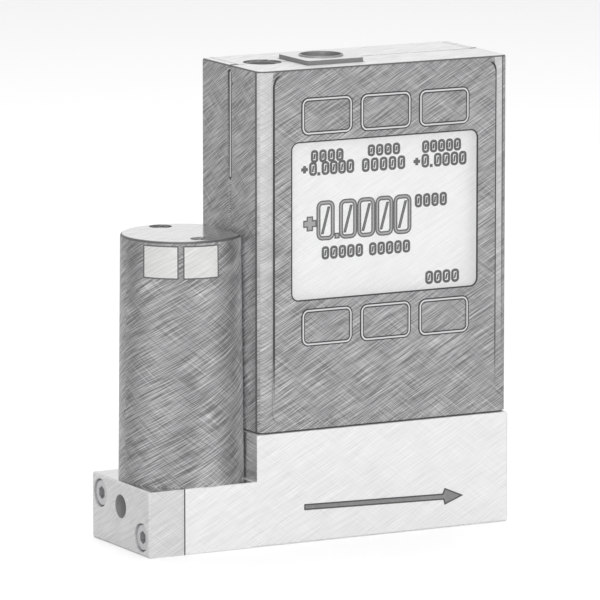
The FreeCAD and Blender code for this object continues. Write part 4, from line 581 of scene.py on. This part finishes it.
def cover_top_polish(tree):
    """Smooth top of the cover, which mirrors the housing beside it."""
    return place_group(tree, top_face, Height=cover_high[2] - TOP_DEPTH)["Mask"]


def flow_step_polish(tree):
    """Machined left step of the flow body, which faces the cover."""
    (x, _, _), (normal_x, _, _) = place_and_normal(tree)
    return product(tree, math_node(tree, "LESS_THAN", normal_x, STEP_NORMAL),
                   math_node(tree, "LESS_THAN", x, flow_low[0] + STEP_DEPTH), STEP_POLISH)


def lens_material():
    """Clear acrylic with a faint gloss."""
    made, shader = new_material("clear_acrylic", 0.12, Alpha=0.06, IOR=1.25)
    shader.inputs["Base Color"].default_value = (0.9, 0.92, 0.92, 1.0)
    return made


FINISHES = {
    "flow_metal": rubbed("flow_metal_satin", (0.77, 0.77, 0.77), 0.45, 0.3, 0.09, polished=flow_step_polish),
    "block_metal": rubbed("block_metal_satin", (0.78, 0.78, 0.78), 0.45, 0.3, 0.09,
                          polished=block_top_polish),
    "end_metal": rubbed("end_metal_satin", (0.62, 0.62, 0.62), 0.45, 0.3, 0.14, end_block_marks,
                        polished=block_top_polish),
    "housing_finish": rubbed("housing_satin_coat", (0.285, 0.285, 0.288), 0.45, 0.1, 0.74, housing_marks),
    "cover_finish": rubbed("cover_satin_coat", (0.275, 0.275, 0.278), 0.40, 0.3, 0.76, cover_marks,
                           round_about=cover_axis_x, polished=cover_top_polish),
    "keypad_film": rubbed("keypad_film_matt", (0.295, 0.295, 0.298), 0.55, 0.0, 0.70, film_marks),
    "label_paper": rubbed("label_stock", (0.62, 0.62, 0.61), 0.5, 0.0, 0.14, label_marks,
                          round_about=cover_axis_x, bump=0.1),
    "clear_lens": lens_material(),
    # Glow: the display's backlight, set strong enough to also act as painted light over the shade from the
    # window's edges
    "display_face": rubbed("display_face_glowing", (0.30, 0.305, 0.30), 0.5, 0.0, 0.22, bump=0.02,
                           Emission_Color=(0.95, 0.955, 0.95, 1.0), Emission_Strength=0.53),
    "screw_steel": speckled("plated_screw", (0.55, 0.55, 0.56), 0.9, contrast=0.12),
    "dark_screw_steel": speckled("black_oxide_screw", (0.10, 0.10, 0.105), 0.7, contrast=0.2),
    "bright_steel": speckled("bright_steel", (0.72, 0.72, 0.73), 1.0, contrast=0.08),
    "bracket_steel": speckled("zinc_sheet", (0.55, 0.55, 0.56), 0.9, contrast=0.15),
    "brass_parts": speckled("turned_brass", (0.72, 0.55, 0.26), 1.0, contrast=0.1),
    "copper_wire": speckled("enamelled_copper", (0.50, 0.20, 0.09), 0.8, contrast=0.2),
    "seal_rubber": speckled("black_elastomer", (0.03, 0.03, 0.03), contrast=0.2),
    "gasket_rubber": speckled("gasket_sheet", (0.07, 0.07, 0.07), contrast=0.2),
    "bobbin_plastic": speckled("natural_moulding", (0.72, 0.70, 0.64), contrast=0.06),
    "lead_insulation": speckled("wire_insulation", (0.30, 0.03, 0.03), contrast=0.08),
    "light_guide": speckled("white_light_guide", (0.85, 0.85, 0.83), contrast=0.03),
    "board_green": speckled("solder_mask", (0.03, 0.16, 0.07), contrast=0.15),
    "socket_plastic": speckled("grey_socket_moulding", (0.20, 0.20, 0.202), contrast=0.15,
                               marks=connector_marks),
    "key_plastic": speckled("grey_moulding", (0.25, 0.25, 0.25), contrast=0.1),
}
PIECE_FINISHES = {
    # The bezel is pale as painted light, so the shade in the window's recess stays light
    "display_bezel": speckled("bezel_painted_light", (0.78, 0.78, 0.77), contrast=0.05),
    "data_connector_shield": speckled("dull_shield", (0.34, 0.34, 0.345), 0.8, contrast=0.2),
    "valve_cover_screws": speckled("stainless_screw", (0.62, 0.62, 0.62), 0.6, contrast=0.1),
}

for part in frame["record"]["subparts"]:
    slots = nodes[part["node"]].data.materials
    slots.clear()
    slots.append(PIECE_FINISHES.get(part["node"], FINISHES[part["material_slot"]]))


# Printed pieces

ink_line = speckled("display_ink_dark", (0.015, 0.015, 0.015), contrast=0.1)
ink_fill = speckled("display_ink_grey", (0.29, 0.29, 0.29), contrast=0.1)
arrow_line = speckled("arrow_ink_dark", (0.06, 0.06, 0.06), contrast=0.1)
arrow_fill = speckled("arrow_ink_grey", (0.21, 0.21, 0.21), contrast=0.5, size=1600.0)


def add_piece(name, mesh, finish):
    piece = bpy.data.objects.new(name, mesh)
    bpy.context.scene.collection.objects.link(piece)
    mesh.materials.append(finish)
    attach(piece, HOUSING_BODY)
    return piece


def rounded_corners(left, right, low, high, radius, steps=4):
    """Points round a rectangle with rounded corners, anticlockwise."""
    centres = ((right - radius, low + radius, -90), (right - radius, high - radius, 0),
               (left + radius, high - radius, 90), (left + radius, low + radius, 180))
    points = []
    for u, v, first in centres:
        for step in range(steps + 1):
            angle = math.radians(first + 90 * step / steps)
            points.append((u + radius * math.cos(angle), v + radius * math.sin(angle)))
    return points


# Limits how far a sharp corner moves when an outline is inset
LEAST_SLOPE = 0.3


def inset(outline, distance):
    """An anticlockwise outline moved inwards, or outwards for a negative distance."""
    moved = []
    for index, point in enumerate(outline):
        here = Vector(point)
        before = (here - Vector(outline[index - 1])).normalized()
        after = (Vector(outline[(index + 1) % len(outline)]) - here).normalized()
        inward = Vector((-before.y - after.y, before.x + after.x)).normalized()
        moved.append(tuple(here + inward * distance / max(inward.dot((-after.y, after.x)), LEAST_SLOPE)))
    return moved


def print_mesh(name, patches, bands, level, thickness):
    """Flat print that faces -Y: filled outlines, and bands between two outlines of equal count."""
    work = bmesh.new()
    faces = []
    for outline in patches:
        faces.append(work.faces.new([work.verts.new((u, level, v)) for u, v in outline]))
    for outer, inner in bands:
        rows = [[work.verts.new((u, level, v)) for u, v in ring] for ring in (outer, inner)]
        count = len(rows[0])
        for index in range(count):
            after = (index + 1) % count
            faces.append(work.faces.new((rows[0][index], rows[0][after], rows[1][after], rows[1][index])))
    walls = bmesh.ops.extrude_face_region(work, geom=faces)
    for vertex in [item for item in walls["geom"] if isinstance(item, bmesh.types.BMVert)]:
        vertex.co.y -= thickness
    bmesh.ops.recalc_face_normals(work, faces=work.faces)
    mesh = bpy.data.meshes.new(name)
    work.to_mesh(mesh)
    work.free()
    return mesh


def bar(left, right, low, high):
    return [(left, low), (right, low), (right, high), (left, high)]


# A zero's slash, as shares of the stroke: its place from the sides and ends, and its width at each end
SLASH_IN, SLASH_UP = 1.15, 1.4
SLASH_HALF, SLASH_LESS, SLASH_MORE = 0.35, 0.2, 1.8


def zero_shape(left, low, width, height, stroke, corner):
    """A slashed zero: its outer edge, its inner edge and its slash."""
    outer = rounded_corners(left, left + width, low, low + height, corner)
    inner = rounded_corners(left + stroke, left + width - stroke, low + stroke, low + height - stroke,
                            corner - stroke)
    half = stroke * SLASH_HALF
    foot_u, top_u = left + stroke * SLASH_IN, left + width - stroke * SLASH_IN
    foot_v, top_v = low + stroke * SLASH_UP, low + height - stroke * SLASH_UP
    slash = [(foot_u - half * SLASH_LESS, foot_v), (foot_u + half * SLASH_MORE, foot_v),
             (top_u + half * SLASH_LESS, top_v), (top_u - half * SLASH_MORE, top_v)]
    return outer, inner, slash


def plus_outline(left, low, width, arm):
    """A plus with short arms, anticlockwise."""
    middle_u, middle_v, reach = left + width / 2, low + width / 2, width / 2
    quarter = [(reach, -arm), (reach, arm), (arm, arm)]
    points = []
    for turn in range(4):
        for u, v in quarter:
            for _ in range(turn):
                u, v = -v, u
            points.append((middle_u + u, middle_v + v))
    return points


# Each row: text, left and low corner, digit width and height, stroke, step, in millimetres
SMALL_READOUTS = (
    ("0000", -3.7, 84.1, 1.85, 2.85, 0.6, 2.1),
    ("+0.0000", -6.2, 81.25, 1.95, 3.1, 0.6, 2.07),
    ("0000", 10.5, 84.6, 1.85, 2.65, 0.6, 2.1),
    ("00000", 9.05, 81.2, 1.95, 3.1, 0.6, 2.24),
    ("00000", 24.2, 84.4, 1.85, 2.85, 0.6, 2.01),
    ("+0.0000", 21.95, 81.15, 1.95, 3.1, 0.6, 2.11),
    ("0000", 22.4, 72.35, 1.85, 3.05, 0.6, 2.1),
    ("00000 00000", -1.0, 62.45, 1.9, 2.95, 0.6, 2.12),
    ("0000", 25.1, 54.95, 2.0, 3.0, 0.6, 2.2),
)
# Corner radius of a small zero as a share of its width, and the point's and space's shares of a step
SMALL_CORNER = 0.42
SHORT_STEPS = {".": 0.5, " ": 0.6}
# A small plus: distance from the left in millimetres, then shares of the height, width and stroke
PLUS_LEFT, PLUS_LOW, PLUS_WIDTH, PLUS_ARM = 0.1, 0.22, 0.85, 0.6
# A point's side as a share of the stroke
POINT_WIDTH = 1.2
# Large zeros: left corners; low corner, width, height, stroke and corner radius, in millimetres
BIG_ZEROS = (-2.3, 3.32, 7.88, 12.44, 17.0)
BIG_SHAPE = (66.7, 4.56, 8.9, 1.0, 1.5)
# Plus: left, low, width, half arm. Point: left, right, low, high
BIG_PLUS = (-5.6, 69.0, 3.3, 0.8)
BIG_POINT = (2.2, 3.5, 66.9, 68.2)
FIGURE_EDGE = 0.3 * MM
# The arrow's corners as X and Z in millimetres, from its tail's low corner
ARROW = ((-6.75, 7.3), (28.4, 6.42), (28.75, 5.25), (33.5, 7.05), (28.75, 9.1), (28.2, 7.85), (-6.75, 8.68))
ARROW_EDGE = 0.32 * MM
FILL_THICKNESS, EDGE_THICKNESS = 0.02 * MM, 0.04 * MM
# Print starts this far in front of the face behind it
FIGURE_GAP, ARROW_GAP = 0.02 * MM, 0.01 * MM


def small_numbers():
    """Rows of small slashed zeros, with a plus and a point."""
    patches, bands = [], []
    for text, left, low, width, height, stroke, step in SMALL_READOUTS:
        for sign in text:
            if sign == "0":
                outer, inner, slash = zero_shape(left, low, width, height, stroke, width * SMALL_CORNER)
                patches.append(slash)
                bands.append((outer, inner))
            elif sign == "+":
                patches.append(plus_outline(left + PLUS_LEFT, low + height * PLUS_LOW, width * PLUS_WIDTH,
                                            stroke * PLUS_ARM))
            elif sign == ".":
                size = stroke * POINT_WIDTH
                patches.append(bar(left, left + size, low, low + size))
            left += step * SHORT_STEPS.get(sign, 1.0)
    return ([[(u * MM, v * MM) for u, v in shape] for shape in patches],
            [[[(u * MM, v * MM) for u, v in ring] for ring in band] for band in bands])


def make_readouts():
    """Small figures in one ink; large ones with a grey body and a dark edge."""
    level = panel_low[1] - FIGURE_GAP
    dark_patches, dark_bands = small_numbers()
    grey_patches, grey_bands = [], []
    solid = [plus_outline(*(length * MM for length in BIG_PLUS)),
             bar(*(length * MM for length in BIG_POINT))]
    for left in BIG_ZEROS:
        outer, inner, slash = zero_shape(*(length * MM for length in (left, *BIG_SHAPE)))
        outer_edge, inner_edge = inset(outer, FIGURE_EDGE), inset(inner, -FIGURE_EDGE)
        dark_bands += [(outer, outer_edge), (inner_edge, inner)]
        grey_bands.append((outer_edge, inner_edge))
        solid.append(slash)
    for outline in solid:
        dark_bands.append((outline, inset(outline, FIGURE_EDGE)))
        grey_patches.append(inset(outline, FIGURE_EDGE))
    fill = print_mesh("display_figures", grey_patches, grey_bands, level, FILL_THICKNESS)
    edges = print_mesh("display_figure_edges", dark_patches, dark_bands, level, EDGE_THICKNESS)
    add_piece("display_figures", fill, ink_fill)
    add_piece("display_figure_edges", edges, ink_line)


def make_flow_arrow():
    """The arrow on the flow body: a grey body with a dark edge."""
    level = flow_low[1] - ARROW_GAP
    outline = [(u * MM, v * MM) for u, v in ARROW]
    body = inset(outline, ARROW_EDGE)
    add_piece("flow_arrow", print_mesh("flow_arrow", [body], [], level, FILL_THICKNESS), arrow_fill)
    edges = print_mesh("flow_arrow_edge", [], [(outline, body)], level, EDGE_THICKNESS)
    add_piece("flow_arrow_edge", edges, arrow_line)


SPRING_WIRE, SPRING_TURNS = 0.4 * MM, 6


def make_closing_spring():
    """The plunger's closing spring, a coil of round wire in place of the CAD spring, which is hidden."""
    low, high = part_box("plunger_spring")
    middle, _ = middle_and_half(low, high, 0, 1)
    wire, steps, sides = SPRING_WIRE / 2, 24, 8
    radius = (high[0] - low[0]) / 2 - wire
    count = SPRING_TURNS * steps
    points = []
    for step in range(count + 1):
        turn = math.tau * step / steps
        rise = low[2] + wire + (high[2] - low[2] - 2 * wire) * step / count
        for side in range(sides):
            tilt = math.tau * side / sides
            reach = radius + wire * math.cos(tilt)
            points.append((middle[0] + reach * math.cos(turn), middle[1] + reach * math.sin(turn),
                           rise + wire * math.sin(tilt)))
    faces = [tuple(range(sides)), tuple(range(count * sides, (count + 1) * sides))[::-1]]
    for step in range(count):
        for side in range(sides):
            after = (side + 1) % sides
            faces.append((step * sides + side, (step + 1) * sides + side, (step + 1) * sides + after,
                          step * sides + after))
    mesh = bpy.data.meshes.new("closing_spring")
    mesh.from_pydata(points, [], faces)
    mesh.materials.append(FINISHES["bright_steel"])
    spring = bpy.data.objects.new("closing_spring", mesh)
    bpy.context.scene.collection.objects.link(spring)
    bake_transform(spring)
    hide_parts("plunger_spring")


make_readouts()
make_flow_arrow()
make_closing_spring()


# Camera, floor and light

# The photograph's angle, from a fit to the edges of the blocks and the housing
AZIMUTH, ELEVATION = math.radians(-28.109), math.radians(9.443)
CAMERA_DISTANCE = 1.556473
CAMERA_SHIFT = (-0.000276, 0.001711)
SENSOR_WIDTH = 36.0
FOCAL_PIXELS, PICTURE_WIDTH = 7018.7, 600
OBJECT_MIDDLE = Vector((0, 0, 0.05))


def place_camera():
    back = Vector((math.sin(AZIMUTH) * math.cos(ELEVATION), -math.cos(AZIMUTH) * math.cos(ELEVATION),
                   math.sin(ELEVATION)))
    right = Vector((math.cos(AZIMUTH), math.sin(AZIMUTH), 0))
    up = back.cross(right)
    camera = bpy.data.objects.new("camera", bpy.data.cameras.new("camera"))
    bpy.context.scene.collection.objects.link(camera)
    middle = OBJECT_MIDDLE + right * CAMERA_SHIFT[0] + up * CAMERA_SHIFT[1]
    turn = Matrix((right, up, back)).transposed().to_4x4()
    camera.matrix_world = Matrix.Translation(middle + back * CAMERA_DISTANCE) @ turn
    camera.data.sensor_width = SENSOR_WIDTH
    camera.data.lens = FOCAL_PIXELS / PICTURE_WIDTH * SENSOR_WIDTH
    camera.data.clip_end = 20
    bpy.context.scene.camera = camera


# Name, place, disk size and power of each lamp
LAMPS = (
    ("key_light", (-0.5, -0.9, 0.8), 0.6, 3.4),
    ("front_light", (0.45, -1.3, 0.5), 0.8, 2.8),
    ("side_light", (-0.85, -1.05, 0.18), 0.5, 3.4),
    ("top_light", (0.1, 0.3, 1.1), 0.8, 4.5),
)


def add_lamp(name, place, size, power):
    data = bpy.data.lights.new(name, "AREA")
    data.shape = "DISK"
    data.size = size
    data.energy = power
    lamp = bpy.data.objects.new(name, data)
    lamp.location = place
    lamp.rotation_euler = (OBJECT_MIDDLE - Vector(place)).to_track_quat("-Z", "Y").to_euler()
    bpy.context.scene.collection.objects.link(lamp)


FLOOR_CORNERS = ((-4, -4, 0), (4, -4, 0), (4, 6, 0), (-4, 6, 0))
FLOOR_GLOW = 0.2


def make_floor():
    """A pale floor that glows a little where the camera sees it."""
    mesh = bpy.data.meshes.new("floor")
    mesh.from_pydata(FLOOR_CORNERS, [], [(0, 1, 2, 3)])
    floor = bpy.data.objects.new("floor", mesh)
    bpy.context.scene.collection.objects.link(floor)
    made = bpy.data.materials.new("pale_floor")
    made.use_nodes = True
    tree = made.node_tree
    shader = tree.nodes["Principled BSDF"]
    shader.inputs["Base Color"].default_value = (0.9, 0.9, 0.9, 1.0)
    shader.inputs["Roughness"].default_value = 0.9
    glow = tree.nodes.new("ShaderNodeEmission")
    path = tree.nodes.new("ShaderNodeLightPath")
    strength = math_node(tree, "MULTIPLY", path.outputs["Is Camera Ray"], FLOOR_GLOW)
    tree.links.new(strength, glow.inputs["Strength"])
    both = tree.nodes.new("ShaderNodeAddShader")
    tree.links.new(shader.outputs[0], both.inputs[0])
    tree.links.new(glow.outputs[0], both.inputs[1])
    tree.links.new(both.outputs[0], tree.nodes["Material Output"].inputs["Surface"])
    mesh.materials.append(made)


# Share of the world's brightness that falls on the object
WORLD_LIGHT = 0.55


def light_world():
    """A white world: bright where it is seen or mirrored, softer as light."""
    world = bpy.data.worlds.new("studio")
    bpy.context.scene.world = world
    world.use_nodes = True
    tree = world.node_tree
    backdrop = tree.nodes["Background"]
    path = tree.nodes.new("ShaderNodeLightPath")
    seen = math_node(tree, "MAXIMUM", path.outputs["Is Camera Ray"], path.outputs["Is Glossy Ray"])
    seen = math_node(tree, "MAXIMUM", seen, path.outputs["Is Transmission Ray"])
    strength = math_node(tree, "MULTIPLY_ADD", seen, 1.0 - WORLD_LIGHT, WORLD_LIGHT)
    tree.links.new(strength, backdrop.inputs["Strength"])
    backdrop.inputs["Color"].default_value = (1, 1, 1, 1)


place_camera()
make_floor()
light_world()
for lamp in LAMPS:
    add_lamp(*lamp)
bpy.context.scene.view_settings.view_transform = "Standard"
